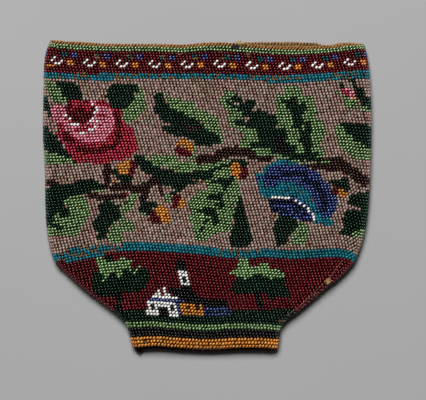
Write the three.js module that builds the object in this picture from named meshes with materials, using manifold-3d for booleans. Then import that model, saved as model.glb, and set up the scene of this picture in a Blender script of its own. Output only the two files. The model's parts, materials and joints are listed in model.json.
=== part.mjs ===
// A flat beaded pouch, lying on its back with its mouth towards +Y and its pictured side up.
// Millimetres. A knitted pocket, open at the mouth and sewn shut at the foot, carries glass
// beads in rings of one colour each. The pictures on the front are set into those rings.

import * as THREE from 'three';
import { mergeVertices } from 'three/addons/utils/BufferGeometryUtils.js';
import Module from 'manifold-3d';

const wasm = await Module();
wasm.setup();

// Outline seen from above: widths across the pouch, heights above the foot edge, and drops below
// the mouth edge
const BAG_HEIGHT = 162.2;
const FOOT_WIDTH = 75.4;
const NECK_WIDTH = 81.6;
const NECK_HEIGHT = 10;
const FLARE_WIDTH = 96;
const FLARE_HEIGHT = 18.2;
const FLANK_WIDTH = 126.6;
const FLANK_HEIGHT = 29.9;
const HIP_WIDTH = 152.2;
const HIP_HEIGHT = 42.5;
const WAIST_WIDTH = 168.4;
const WAIST_HEIGHT = 67.7;
const BODY_WIDTH = 172.2;
const BODY_DROP = 42.2;
const SHOULDER_WIDTH = 170;
const SHOULDER_DROP = 9.4;
const MOUTH_WIDTH = 163.8;

// Section: the two faces meet in round folds
const FOLD_RADIUS = 4.6;
const FOLD_FLAT = 0.4;
const BEAD_DEPTH = 1.2;
const KNIT_WALL = 0.6;

// Clearances: beads to the knitting under them, and one colour to the next
const SEAT_GAP = 0.3;
const COLOUR_GAP = 0.3;

// Bead rows, and how many each ring has
const ROW_PITCH = 1.48;
const GOLD_ROWS = 3;
const BLACK_ROWS = 3;
const LOW_GREEN_ROWS = 2;
const GROUND_ROWS = 4;
const LANDSCAPE_ROWS = 20;
const LOW_TURQUOISE_ROWS = 3;
const HIGH_TURQUOISE_ROWS = 3;
const BORDER_ROWS = 8;
const RIM_ROWS = 2;
const BARE_FOOT = 2;
const BARE_RIM = 1.4;

// The rows stand up in ribs of a few rows each, with a groove from one rib to the next
const RIB_ROWS = 3;
const GROOVE_WIDTH = 0.5;
const GROOVE_DEPTH = 0.6;

// Rows lie level across the middle and sag beside the hips
const LEVEL_WIDTH = 100;
const HIP_SAG = 4.5;
const SAG_HEIGHT = 52;
const SAG_REACH = 45;

// Threads
const SEAM_THREAD = 1.2;
const SEAM_LENGTH = 70;
const KNOT_WIDTH = 4;
const KNOT_HEIGHT = 3;
const KNOT_THICKNESS = 1.6;
const KNOT_OFFSET = 15.2;
const KNOT_DROP = 1.9;

// Pattern charts: how far each reaches in its own units, across the pouch and up its ring
const GARLAND_CHART = { across: 172.2, low: -27.3, high: 60.46 };
const LANDSCAPE_CHART = { across: 152.2, low: -61.34, high: -31.74 };

// Fineness of the round shapes
const SIDE_STEPS = 26;
const FOLD_STEPS = 4;
const SAG_STEPS = 6;
const BERRY_SIDES = 10;
const THREAD_SIDES = 8;
const KNOT_SIDES = 12;

// Worked out from the sizes above
const KNIT_RADIUS = FOLD_RADIUS - BEAD_DEPTH - SEAT_GAP;
const BAG_THICKNESS = 2 * FOLD_RADIUS + FOLD_FLAT;
const MIDDLE = BAG_THICKNESS / 2;
const RUNOUT = 4 * FOLD_RADIUS;

const COLOURS = {
  tan: 0xa58a6b,
  light_green: 0x7fa05a,
  dark_green: 0x14382a,
  maroon: 0x5c1220,
  crimson: 0xa01c34,
  pink: 0xc87a8c,
  turquoise: 0x1f7a8c,
  mauve: 0x8f7d74,
  brown: 0x2e1712,
  blue: 0x2c3f8f,
  navy: 0x141a3c,
  gold: 0xc98a2c,
  black: 0x16120f,
  white: 0xe8e4da,
  grey_thread: 0x55504c,
};

const at = (x, y) => new THREE.Vector2(x, y);

// Solids and meshes

function solidOf(geometry) {
  geometry.deleteAttribute('normal');
  geometry.deleteAttribute('uv');
  const merged = mergeVertices(geometry);
  return new wasm.Manifold(new wasm.Mesh({
    numProp: 3,
    vertProperties: new Float32Array(merged.attributes.position.array),
    triVerts: new Uint32Array(merged.index.array),
  }));
}

function meshOf(name, colour, roughness, solid) {
  const { vertProperties, triVerts } = solid.getMesh();
  const geometry = new THREE.BufferGeometry();
  geometry.setAttribute('position', new THREE.BufferAttribute(vertProperties, 3));
  geometry.setIndex(new THREE.BufferAttribute(triVerts, 1));
  geometry.computeVertexNormals();
  const material = new THREE.MeshStandardMaterial({
    color: COLOURS[colour],
    roughness,
    metalness: 0,
    flatShading: true,
  });
  const mesh = new THREE.Mesh(geometry, material);
  mesh.name = name;
  return mesh;
}

const GLASS_ROUGHNESS = 0.25;
const THREAD_ROUGHNESS = 0.85;
const beads = (name, colour, solid) => meshOf(name, colour, GLASS_ROUGHNESS, solid);
const thread = (name, colour, solid) => meshOf(name, colour, THREAD_ROUGHNESS, solid);

function prism(outline, low, high) {
  const geometry = new THREE.ExtrudeGeometry(new THREE.Shape(outline), {
    depth: high - low,
    bevelEnabled: false,
  });
  return solidOf(geometry.translate(0, 0, low));
}

// An outline with every corner moved outwards along the mean of its two edges' normals
function grown(outline, distance) {
  const ring = THREE.ShapeUtils.isClockWise(outline) ? [...outline].reverse() : outline;
  return ring.map((corner, i) => {
    const along = corner.clone().sub(ring.at(i - 1)).normalize();
    const onward = ring[(i + 1) % ring.length].clone().sub(corner).normalize();
    const normal = at(along.y, -along.x);
    const mean = at(onward.y, -onward.x).add(normal).normalize();
    return corner.clone().addScaledVector(mean, distance / mean.dot(normal));
  });
}

// The pouch: nested closed pillows with one shared core, cut open at the mouth

function bagOutline() {
  const side = new THREE.SplineCurve([
    at(FOOT_WIDTH / 2, 0),
    at(NECK_WIDTH / 2, NECK_HEIGHT),
    at(FLARE_WIDTH / 2, FLARE_HEIGHT),
    at(FLANK_WIDTH / 2, FLANK_HEIGHT),
    at(HIP_WIDTH / 2, HIP_HEIGHT),
    at(WAIST_WIDTH / 2, WAIST_HEIGHT),
    at(BODY_WIDTH / 2, BAG_HEIGHT - BODY_DROP),
    at(SHOULDER_WIDTH / 2, BAG_HEIGHT - SHOULDER_DROP),
    at(MOUTH_WIDTH / 2, BAG_HEIGHT),
  ]);
  const right = side.getSpacedPoints(SIDE_STEPS);
  right.push(at(MOUTH_WIDTH / 2, BAG_HEIGHT + RUNOUT));
  const left = right.map((point) => at(-point.x, point.y)).reverse();
  return [...right, ...left];
}

const core = grown(bagOutline(), -FOLD_RADIUS);

function pillow(radius) {
  const geometry = new THREE.ExtrudeGeometry(new THREE.Shape(core), {
    depth: FOLD_FLAT,
    bevelEnabled: true,
    bevelThickness: radius,
    bevelSize: radius,
    bevelSegments: FOLD_STEPS,
  });
  return solidOf(geometry.translate(0, 0, FOLD_RADIUS));
}

function slab(low, high) {
  const reach = BODY_WIDTH;
  const outline = [at(-reach, low), at(reach, low), at(reach, high), at(-reach, high)];
  return prism(outline, -RUNOUT, BAG_THICKNESS + RUNOUT);
}

const knitting = pillow(KNIT_RADIUS)
  .subtract(pillow(KNIT_RADIUS - KNIT_WALL))
  .intersect(slab(-RUNOUT, BAG_HEIGHT));
const beadLayer = pillow(FOLD_RADIUS).subtract(pillow(FOLD_RADIUS - BEAD_DEPTH));
const grooveLayer = pillow(FOLD_RADIUS + COLOUR_GAP).subtract(pillow(FOLD_RADIUS - GROOVE_DEPTH));

// Rings of beads, each between two row lines that run round the pouch

function rowLine(height, shift) {
  const nearness = Math.max(0, 1 - Math.abs(height - SAG_HEIGHT) / SAG_REACH);
  const level = LEVEL_WIDTH / 2;
  const beyond = BODY_WIDTH / 2 - level;
  const right = Array.from({ length: SAG_STEPS + 2 }, (_, i) => {
    const share = i / SAG_STEPS;
    return at(level + share * beyond, height + shift - HIP_SAG * nearness * share * share);
  });
  const left = right.map((point) => at(-point.x, point.y)).reverse();
  return [...left, ...right];
}

function strip(floor, roof) {
  return prism([...floor, ...roof.reverse()], -RUNOUT, BAG_THICKNESS + RUNOUT);
}

function groove(height) {
  const half = GROOVE_WIDTH / 2;
  return grooveLayer.intersect(strip(rowLine(height, -half), rowLine(height, half)));
}

function ring(low, high) {
  const rib = RIB_ROWS * ROW_PITCH;
  let solid = beadLayer.intersect(strip(rowLine(low, COLOUR_GAP / 2), rowLine(high, -COLOUR_GAP / 2)));
  for (let height = low + rib; height < high - ROW_PITCH / 2; height += rib) {
    solid = solid.subtract(groove(height));
  }
  return solid;
}

const fromFoot = [
  ['gold_foot_beads', 'gold', GOLD_ROWS],
  ['black_foot_beads', 'black', BLACK_ROWS],
  ['lower_green_beads', 'light_green', LOW_GREEN_ROWS],
  ['ground_beads', 'dark_green', GROUND_ROWS],
  ['landscape_beads', 'maroon', LANDSCAPE_ROWS],
  ['lower_turquoise_beads', 'turquoise', LOW_TURQUOISE_ROWS],
];
const fromMouth = [
  ['rim_beads', 'light_green', RIM_ROWS],
  ['border_beads', 'maroon', BORDER_ROWS],
  ['upper_turquoise_beads', 'turquoise', HIGH_TURQUOISE_ROWS],
];

const rings = new Map();
let low = BARE_FOOT;
for (const [name, colour, rows] of fromFoot) {
  const top = low + rows * ROW_PITCH;
  rings.set(name, { colour, low, high: top, solid: ring(low, top) });
  low = top;
}
let high = BAG_HEIGHT - BARE_RIM;
for (const [name, colour, rows] of fromMouth) {
  const bottom = high - rows * ROW_PITCH;
  rings.set(name, { colour, low: bottom, high, solid: ring(bottom, high) });
  high = bottom;
}
rings.set('field_beads', { colour: 'mauve', low, high, solid: ring(low, high) });

// Pictures on the front. Each outline is in chart units, and what comes first lies uppermost.

function oval(x, y, halfWidth, halfHeight) {
  return Array.from({ length: BERRY_SIDES }, (_, i) => {
    const turn = (2 * Math.PI * i) / BERRY_SIDES;
    return [x + halfWidth * Math.cos(turn), y + halfHeight * Math.sin(turn)];
  });
}

const garland = [
  ['rose_petal_beads', 'pink', [[-80.5, 41], [-81, 45.5], [-75.5, 47.5], [-75, 42], [-71, 38], [-65, 37],
    [-60, 38.5], [-57.5, 43], [-58.5, 48], [-60, 51.5], [-54.5, 49.5], [-50, 44.5], [-48.5, 38],
    [-51, 32.5], [-58, 29], [-66, 29.5], [-74, 33], [-77, 38]]],
  ['rose_heart_beads', 'maroon', [[-75.5, 48], [-70, 51], [-65, 51.5], [-60, 51.5], [-58.5, 48],
    [-57.5, 43], [-60, 38.5], [-65, 37], [-71, 38], [-75, 42]]],
  ['rose_beads', 'crimson', [[-58, 52.5], [-51, 48.5], [-46, 46], [-44.5, 41], [-38, 35], [-36, 28],
    [-38.5, 22], [-48, 19], [-53, 17], [-67, 17.5], [-74, 25], [-79, 35], [-79, 39], [-74, 33],
    [-66, 30.5], [-58, 30], [-51, 33.5], [-49.5, 38], [-51, 44.5], [-56, 49]]],
  ['flower_ring_beads', 'turquoise', [[26, 9], [27, 4], [33, -1.5], [44, -0.5], [49, -3], [53, -6.5],
    [56, -14], [66, -14], [63, -11], [58.5, -10], [57, -4], [55, 1], [51, 5], [44, 8], [34, 8]]],
  ['flower_heart_beads', 'navy', [[33, -2], [44, -1], [49, -3.5], [53, -7], [55, -13.5], [49, -13.5],
    [44, -11], [37, -9.5], [34, -8]]],
  ['flower_beads', 'blue', [[26, 12], [30, 12.5], [32, 16], [39, 19.5], [50, 17], [57, 14], [61, 9],
    [65, 6], [69, -3], [67.5, -8], [65, -11], [62, -12], [57, -9], [55, -4], [53, 1], [49, 4],
    [44, 6], [34, 6], [27, 7]]],
  ['rosebud_beads', 'pink', [[71, 55], [72, 57.5], [75.5, 58], [78.5, 54], [77.5, 51.5], [74, 52.5]]],
  ['rose_berry_beads', 'gold', oval(-44, 15, 3.2, 2.8)],
  ['leaf_berry_beads', 'gold', oval(-11.5, 26.5, 3.6, 2.6)],
  ['low_berry_beads', 'gold', oval(-23, -9.5, 3.4, 3.6)],
  ['small_berry_beads', 'gold', oval(-13.6, -4.3, 1.7, 2.5)],
  ['centre_berry_beads', 'gold', oval(15.3, 13.6, 2.7, 3.3)],
  ['edge_berry_beads', 'gold', oval(71.2, 2, 2.2, 2.2)],
  ['top_left_leaf_light_beads', 'light_green', [[-84, 59.5], [-80, 59.5], [-77, 56.5], [-73, 50],
    [-75, 48.8], [-81, 50], [-83.5, 55]]],
  ['top_left_leaf_dark_beads', 'dark_green', [[-80, 60], [-69, 60], [-66, 55], [-66, 52], [-74, 50.5]]],
  ['rose_leaf_light_beads', 'light_green', [[-35, 57], [-32, 50], [-32.5, 46], [-41, 38.7], [-44, 42],
    [-45, 46], [-40, 47], [-38, 53.5]]],
  ['rose_leaf_dark_beads', 'dark_green', [[-53, 53], [-49, 58.5], [-37, 58.5], [-35.5, 57], [-38, 52],
    [-40, 47], [-50, 47]]],
  ['side_leaf_light_beads', 'light_green', [[-83, 23.5], [-72, 20], [-68.5, 16.5], [-83, 17.3]]],
  ['side_leaf_dark_beads', 'dark_green', [[-83, 35.5], [-79, 31], [-74, 23.5], [-68, 17.5], [-83, 24.5]]],
  ['centre_leaf_light_beads', 'light_green', [[-23, 55], [-18, 51], [-8, 50.5], [-4, 45], [4.5, 42.5],
    [7, 37], [7, 32], [9.5, 28], [7, 28], [6, 32], [0.5, 34.5], [-4, 40], [-13, 44], [-20.5, 47.5]]],
  ['centre_leaf_dark_beads', 'dark_green', [[-25, 55], [-27.5, 53], [-27.5, 45], [-22, 39], [-23, 35],
    [-17, 31.5], [-6, 29.5], [-6, 26.8], [7, 27], [6.5, 32], [1, 36], [-3, 41], [-13, 45], [-20, 48.5],
    [-23, 54]]],
  ['branch_leaf_light_beads', 'light_green', [[-29, 20.5], [-17, 20], [-7, 17.2], [-3, 14], [-6, 12.7],
    [-15, 13.2], [-29, 16.5]]],
  ['branch_leaf_dark_beads', 'dark_green', [[-37, 20], [-30, 17], [-15, 13.2], [2, 13], [0, 9.5],
    [-6, 9], [-12, 3.5], [-24, 6], [-24, 11], [-35, 13]]],
  ['oak_leaf_light_beads', 'light_green', [[40.5, 57.5], [44.5, 58], [50, 54.5], [55, 52.5], [57, 47],
    [56, 41.5], [60, 40], [62, 33], [58.5, 27.5], [61.5, 20.8], [50, 21], [47, 24], [46, 27], [43, 29],
    [43.5, 33], [42, 36.5], [38, 37.5], [36.8, 45], [38, 52]]],
  ['oak_leaf_dark_beads', 'dark_green', [[14, 54.5], [18, 51.5], [25, 50], [25, 46], [36, 44], [39.5, 38.5],
    [43.5, 36], [44.5, 29], [48, 26], [46, 21], [35, 22], [26, 26.5], [22, 34], [13, 38], [16, 44],
    [13, 50]]],
  ['lobed_leaf_light_beads', 'light_green', [[3, 12], [6, 14], [12, 14.8], [14.2, 10.4], [16.5, 5],
    [15, 0], [14, -14], [12, -18], [6, -18], [-2, -23], [-8, -19], [-5, -15], [-9, -12], [-9, -3], [-5, 2],
    [0, 5], [0, 9]]],
  ['lobed_leaf_dark_beads', 'dark_green', [[16.2, 2], [18, 0], [20, -5], [24, -23], [21, -25], [12, -24.5],
    [11.5, -20], [14, -15]]],
  ['right_leaf_light_beads', 'light_green', [[67.5, 36], [70.5, 38], [75.5, 32], [82, 26], [82, 20],
    [76, 20.8], [69, 27], [67, 33]]],
  ['right_leaf_dark_beads', 'dark_green', [[71, 38], [76, 38.5], [82, 37.5], [82, 27.5], [76, 31.5]]],
  ['hip_leaf_light_beads', 'light_green', [[-75, -1], [-70, 0.5], [-64, 0], [-61, -10], [-66, -15],
    [-66.5, -19], [-80, -20.3], [-80, -11], [-75, -7]]],
  ['hip_leaf_dark_beads', 'dark_green', [[-82, 4.5], [-70, 8.5], [-62, 8.8], [-55, 5.5], [-64, 0.5],
    [-75, -1], [-75, -7], [-82, -12]]],
  ['low_leaf_light_beads', 'light_green', [[-46, -8], [-39, -13], [-38.5, -17.5], [-44, -18], [-45.5, -23],
    [-52, -23], [-50, -14]]],
  ['low_leaf_dark_beads', 'dark_green', [[-54, -2], [-47, -3], [-45, -8], [-50, -13], [-53, -20], [-56, -22],
    [-59.5, -15], [-56.5, -8]]],
  ['flower_leaf_light_beads', 'light_green', [[47, -14], [52.5, -14.8], [53.5, -18], [50, -24], [42, -24.5],
    [45, -20]]],
  ['flower_leaf_dark_beads', 'dark_green', [[38, -10.2], [44, -11.5], [47, -14], [45, -20], [41, -24.5],
    [36, -24.5], [35, -20], [36, -15]]],
  ['edge_leaf_beads', 'dark_green', [[75, 0], [82, 2], [82, -16], [76, -19.5], [70.5, -20], [72, -9],
    [76, -5]]],
  ['left_branch_beads', 'brown', [[-62, 1.5], [-50, 2], [-40, 3.5], [-24.5, 9.5], [-24.5, 6.5], [-38, 0.8],
    [-50, -1], [-62, -0.8]]],
  ['middle_branch_beads', 'brown', [[-4, 21], [8, 25.5], [16, 26.5], [26, 25], [33, 21.5], [32, 19.5],
    [20, 21], [6, 20.3], [-4, 19.2]]],
  ['right_branch_beads', 'brown', [[51, 18.5], [71, 20], [76, 13.5], [82, 11], [82, 7], [76, 9], [74, 13.5],
    [58, 14.3]]],
];

const landscape = [
  ['left_tree_top_beads', 'light_green', [[-58, -32.5], [-54, -33], [-50, -34.2], [-45, -32.5], [-40, -34],
    [-41, -37], [-47, -41.5], [-54, -43], [-57.5, -39.5], [-56, -37], [-58.5, -35.5]]],
  ['left_tree_beads', 'dark_green', [[-59, -41], [-57, -39], [-45, -38], [-39, -37.5], [-32, -38.5],
    [-30.8, -42], [-32, -48], [-40, -50.5], [-44.5, -51], [-44.8, -58.5], [-48, -58.5], [-48, -51.5],
    [-56, -52], [-59, -48]]],
  ['right_tree_top_beads', 'light_green', [[12.5, -40], [16, -38], [17, -33], [19.5, -32.3], [24, -37.5],
    [30, -35.3], [37, -38], [41, -40.5], [38, -41.8], [31, -43], [16, -43.3]]],
  ['right_tree_beads', 'dark_green', [[13.5, -46.5], [17, -42.5], [38, -41], [42.5, -43], [43, -51.5],
    [38, -52.5], [29.2, -51], [29.2, -58.5], [26, -58.5], [25.5, -51], [20, -51.3]]],
  ['steeple_beads', 'white', [[-16.2, -38.8], [-11, -38.8], [-9.2, -46.6], [-14.4, -46.8]]],
  ['house_front_beads', 'white', [[-28.8, -52.6], [-22, -48], [-15.5, -54], [-15.5, -59.4], [-31, -59.4],
    [-31.5, -55]]],
  ['barn_beads', 'gold', [[-14, -56.2], [-3, -55.8], [-2, -59.4], [-14, -59.4]]],
  ['roof_beads', 'black', [[-21.5, -47.2], [-8, -47.2], [-2, -52.8], [9.5, -53], [9.5, -57.5], [-1, -57.5],
    [-3, -55.5], [-15, -55.8]]],
];

// A chart is stretched over the pouch's width there, and from the lowest row of its ring to the highest
function onPouch(chart, width, host, [x, y]) {
  const share = (y - chart.low) / (chart.high - chart.low);
  return at((x * width) / chart.across, host.low + share * (host.high - host.low));
}

function setInto(host, chart, width, [name, colour, corners]) {
  const outline = corners.map((corner) => onPouch(chart, width, host, corner));
  const roof = BAG_THICKNESS + RUNOUT;
  const place = prism(grown(outline, -COLOUR_GAP / 2), MIDDLE + COLOUR_GAP / 2, roof);
  const pocket = prism(grown(outline, COLOUR_GAP / 2), MIDDLE - COLOUR_GAP / 2, roof);
  const picture = host.solid.intersect(place);
  host.solid = host.solid.subtract(pocket);
  return beads(name, colour, picture);
}

const pictures = [
  ...garland.map((entry) => setInto(rings.get('field_beads'), GARLAND_CHART, BODY_WIDTH, entry)),
  ...landscape.map((entry) => setInto(rings.get('landscape_beads'), LANDSCAPE_CHART, HIP_WIDTH, entry)),
];

// Threads: the seam along the foot, and a mending knot on the mouth edge

function seamThread() {
  const section = new THREE.Shape();
  section.absarc(0, 0, SEAM_THREAD / 2, 0, 2 * Math.PI);
  const place = FOLD_RADIUS - KNIT_RADIUS - SEAT_GAP - SEAM_THREAD / 2;
  const start = new THREE.Vector3(-SEAM_LENGTH / 2, place, MIDDLE);
  const end = new THREE.Vector3(SEAM_LENGTH / 2, place, MIDDLE);
  return solidOf(new THREE.ExtrudeGeometry(section, {
    steps: 1,
    curveSegments: THREAD_SIDES,
    extrudePath: new THREE.LineCurve3(start, end),
  }));
}

function knot(growth) {
  const geometry = new THREE.SphereGeometry(0.5, KNOT_SIDES, KNOT_SIDES / 2);
  geometry.scale(KNOT_WIDTH + 2 * growth, KNOT_HEIGHT + 2 * growth, KNOT_THICKNESS + 2 * growth);
  const height = MIDDLE + FOLD_FLAT / 2 + KNIT_RADIUS + SEAT_GAP + KNOT_THICKNESS / 2;
  return solidOf(geometry.translate(KNOT_OFFSET, BAG_HEIGHT - KNOT_DROP, height));
}

const rim = rings.get('rim_beads');
rim.solid = rim.solid.subtract(knot(COLOUR_GAP));

const bag = new THREE.Group();
bag.add(thread('knitted_body', 'tan', knitting));
for (const [name, { colour, solid }] of rings) {
  bag.add(beads(name, colour, solid));
}
bag.add(...pictures);
bag.add(thread('foot_seam_thread', 'tan', seamThread()));
bag.add(thread('mouth_knot', 'grey_thread', knot(0)));
bag.position.y = -BAG_HEIGHT / 2;

export default bag;
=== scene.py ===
"""A flat beaded pouch on its back: glass beads worked row by row on a knitted ground, seen from above."""

import json
import math

import bpy
import numpy as np
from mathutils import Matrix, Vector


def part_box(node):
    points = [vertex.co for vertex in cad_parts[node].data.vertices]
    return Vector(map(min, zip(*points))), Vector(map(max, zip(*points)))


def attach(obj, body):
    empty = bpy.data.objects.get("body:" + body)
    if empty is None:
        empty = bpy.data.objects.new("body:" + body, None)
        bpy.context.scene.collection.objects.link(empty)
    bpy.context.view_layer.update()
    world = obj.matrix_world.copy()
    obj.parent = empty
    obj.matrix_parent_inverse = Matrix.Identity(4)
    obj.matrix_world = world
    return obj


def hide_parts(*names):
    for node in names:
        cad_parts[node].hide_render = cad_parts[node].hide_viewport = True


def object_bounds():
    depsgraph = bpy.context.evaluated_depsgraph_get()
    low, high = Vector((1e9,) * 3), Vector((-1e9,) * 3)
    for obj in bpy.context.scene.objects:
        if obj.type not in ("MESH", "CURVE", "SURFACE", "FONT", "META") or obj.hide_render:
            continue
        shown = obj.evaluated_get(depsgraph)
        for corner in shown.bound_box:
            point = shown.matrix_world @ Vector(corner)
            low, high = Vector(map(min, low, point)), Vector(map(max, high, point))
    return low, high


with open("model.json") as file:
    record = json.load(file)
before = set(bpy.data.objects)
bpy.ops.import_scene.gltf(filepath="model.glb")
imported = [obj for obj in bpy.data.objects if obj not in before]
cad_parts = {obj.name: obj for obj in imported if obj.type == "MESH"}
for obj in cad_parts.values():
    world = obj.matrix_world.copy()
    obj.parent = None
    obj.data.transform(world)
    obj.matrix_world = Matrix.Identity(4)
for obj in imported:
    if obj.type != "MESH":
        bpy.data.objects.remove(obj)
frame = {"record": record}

CAD_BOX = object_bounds()
RANDOM = np.random.default_rng(7)

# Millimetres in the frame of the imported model: x across, y towards the mouth, z up
MM = 0.001
LOW, HIGH = (np.array(corner) / MM for corner in CAD_BOX)
FOOT = LOW[1]
MOUTH = HIGH[1]
HALF_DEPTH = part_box("field_beads")[1].z / MM / 2
MIDDLE = HALF_DEPTH

# The photograph
PHOTO_WIDTH = 426
PHOTO_SCALE = 0.525
PHOTO_CENTRE = (3.15, -1.84)
CAMERA_HEIGHT = 1200
SENSOR = 36

# Side edges of the pouch: height above the foot, left edge, right edge
EDGES = [
    (0, -38.9, 37.2), (4, -40, 38), (8, -41, 38.6), (12.2, -42.4, 39.4), (16.2, -45.2, 42.8),
    (20.5, -50.2, 48.6), (29.9, -62.6, 59.8), (41.5, -75.4, 73.6), (46, -79.8, 77.4), (54, -82.8, 81),
    (66.7, -84.9, 84.2), (75, -85.4, 85.3), (92, -85.6, 86.3), (116, -86.7, 86.9), (140, -86.3, 86.3),
    (152.8, -85.9, 85.1), (158, -84.9, 84.1), (162.2, -83.2, 83),
]
FOLD_RADIUS = 4.6
FOLD_FLAT = 0.4
LEAST_DEPTH_SQUARED = 0.01
# The step over which the slope of an edge is measured
SLOPE_STEP = 0.5
# Dents of the front: their depth, the shares of it that are level, broad and fine, and the waves' lengths
DENT = 0.8
DENT_SHARES = (0.5, 0.3, 0.2)
BROAD_WAVE = (21, 27)
BROAD_SHIFT = (0.6, -0.4)
FINE_WAVE = (13, 19)

# Bead rows from the foot to the mouth: colour, how many, and how much lighter or darker than usual
BANDS = [
    ("gold", 3, 0), ("black", 3, 0), ("light_green", 2, 0), ("dark_green", 4, 0), ("maroon", 20, 0.12),
    ("turquoise", 3, 0), ("mauve", 59, 0), ("turquoise", 3, 0), ("maroon", 8, -0.15),
    ("light_green", 2, -0.1),
]
BAND_COLOURS, BAND_COUNTS, BAND_SHADES = zip(*BANDS)
BAND_OF_ROW = np.repeat(np.arange(len(BANDS)), BAND_COUNTS)
ROWS = len(BAND_OF_ROW)
# Bands by number: how many lie at the foot, the turquoise ones, and all that carry no picture
FOOT_BANDS = 3
LOWER_TURQUOISE, UPPER_TURQUOISE = 5, 7
PLAIN_BANDS = (0, 1, 2, 5, 7, 8, 9)
BARE_FOOT = 1.2
BARE_RIM = 1.4
FOOT_ROWS = BAND_COUNTS[0]
FOOT_PITCH = 1.75
ROW_PITCH = (MOUTH - FOOT - BARE_FOOT - BARE_RIM - FOOT_ROWS * FOOT_PITCH) / (ROWS - FOOT_ROWS)
COLUMN_PITCH = 1.712
COLUMN_LEAN = 0.39
COLUMN_START = 4.1
# Beads of the back that are spread to close each fold
FOLD_BEADS = 6

# One bead: half its length along the hole, half its breadth, half its depth, and the slant of its hole.
# Beads of some colours are fuller, and of some longer and lying over along the row.
UPRIGHT = (0.78, 0.64, 0.66, 68)
LYING = (0.96, 0.63, 0.66, 34)
BEAD_FORMS = {
    "mauve": (0.9, 0.74, 0.66, 66), "turquoise": (0.95, 0.8, 0.68, 60),
    "dark_green": (0.88, 0.64, 0.66, 72), "crimson": (0.82, 0.66, 0.66, 48),
    "white": (0.92, 0.69, 0.68, 40), "light_green": LYING, "gold": LYING, "pink": LYING, "blue": LYING,
}
FOOT_BEAD = 1.1
FOOT_SLANT = 20
BEAD_CENTRE = 0.66
# Rings of a unit bead: place along its hole, and radius
BEAD_RINGS = [(-0.68, 0.7), (0, 1), (0.68, 0.7)]
# The faces of the pouch, their names, and the sides of the beads there
FACES = [(1, "front", 7), (-1, "back", 6)]
# How unlike beads are: depth, place, slant in degrees, size and tone
SINK = 0.05
STRAY = 0.07
SLANT_JITTER = 6
SIZE_JITTER = 0.05
MEAN_TONE = 0.5
TONE_JITTER = 0.16
# How much of half its cell in the baking map a bead fills
CELL_REACH = 0.4

# The knitting: its depth under the beads' face, its thickness, and the points of its sheets
KNIT_FACE = 1.25
KNIT_WALL = 0.6
SHEET_COLUMNS = 120
WALL_ROWS = 70
INSIDE_SHEET_ROWS = 40
# Heights of the wall's first rows above its turn at the foot, and where the even rows begin
FIRST_HEIGHTS = (0.002, 0.03, 0.1)
EVEN_FROM = 0.3

# Thread loops: half the length, half the breadth, and the slant of one loop
RIM_LOOP = (1.08, 0.42, 32)
BARE_LEG = (0.75, 0.27, 62)
SEAM_LOOP = (0.8, 0.2, 10)
EDGE_LOOP = (1.1, 0.42, 72)
WHIP_LOOP = (1.9, 0.22, 70)
CORNER_LOOP = (1.3, 0.55, 40)
LOOP_SIDES = 6
# How unlike loops are: place, slant in degrees, size and tone
LOOP_STRAY = 0.06
LOOP_SPREAD = 6
BARE_LEG_SPREAD = 12
CORNER_SPREAD = 40
LOOP_SIZE_JITTER = 0.08
LOOP_TONE_JITTER = 0.2
# Rounds at the rim: from one to the next, the first outside and how far each stands out of the wall,
# and how many are inside, the first one's way below the edge and how far they stand in from the wall
RIM_ROW = 0.85
RIM_START = 0.3
RIM_PROUD = (0.35, 0.2)
INSIDE_ROWS = 4
INSIDE_START = 0.2
INSIDE_PROUD = 0.15
# A bare stitch has two legs of thread: half the way between them, and their rise above the beads' centres
BARE_SPREAD = 0.36
BARE_RISE = 0.3
# Rounds drawn together at the foot: their heights above it, and their depth under the beads' face
FOOT_ROUNDS = (1.11, 1.25, 1.57)
FOOT_DEPTH = 1.1
# Loops along the foot's end: piece, form, pitch, height, way forward of the middle, normal, and thread
FORWARD = (0, -0.3, 1)
# The pinkish tan thread of the foot's seam and whipping is the thread's own tan with a pink tint painted in
# as reflected light from the maroon beads
FOOT_LOOPS = [
    ("foot_edge", EDGE_LOOP, 0.9, 0.35, 0.2, FORWARD, "foot_shade_red"),
    ("foot_seam", SEAM_LOOP, 1.5, 1, 1.4, FORWARD, "tan_pink_reflection"),
    ("foot_whipping", WHIP_LOOP, 2.6, 0.75, 0, (0, -1, 0), "tan_pink_reflection"),
]
FOOT_OVERHANG = 0.4
FOOT_STRAY = 0.08
# The seam's gathered end at the left corner of the foot: x, y, z
FOOT_CORNER = [
    (-37, -80.6, 3.4), (-36.4, -81.4, 2.6), (-35.5, -82.1, 3), (-34.6, -81.5, 2.4), (-35.6, -80.9, 3.8),
]

# The border's small motif, in columns and rows from its first bead
BORDER_REPEAT = 10
BORDER_ROW = 100
BORDER_MOTIF = {
    "white": [(0, 0), (1, 1), (1, -1), (2, -1), (3, 0)],
    "gold": [(5, 0), (6, 0), (5, -1), (6, -1)],
    "blue": [(7, 3), (8, 3), (7, 2), (8, 2)],
    "teal": [(4, 3), (5, 3), (4, 2), (5, 2)],
}

# Stretches of a row in another colour, mostly that of the band beside it: colour, row, from x, to x
CHANGED_ROWS = [
    ("maroon", 96, -90, -56), ("mauve", 94, -50, 30), ("gold", 98, -84.6, -80.5),
    ("turquoise", 31, -75, -54), ("turquoise", 35, -74.5, -66.5), ("mauve", 34, -53.5, -44.5),
]

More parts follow.
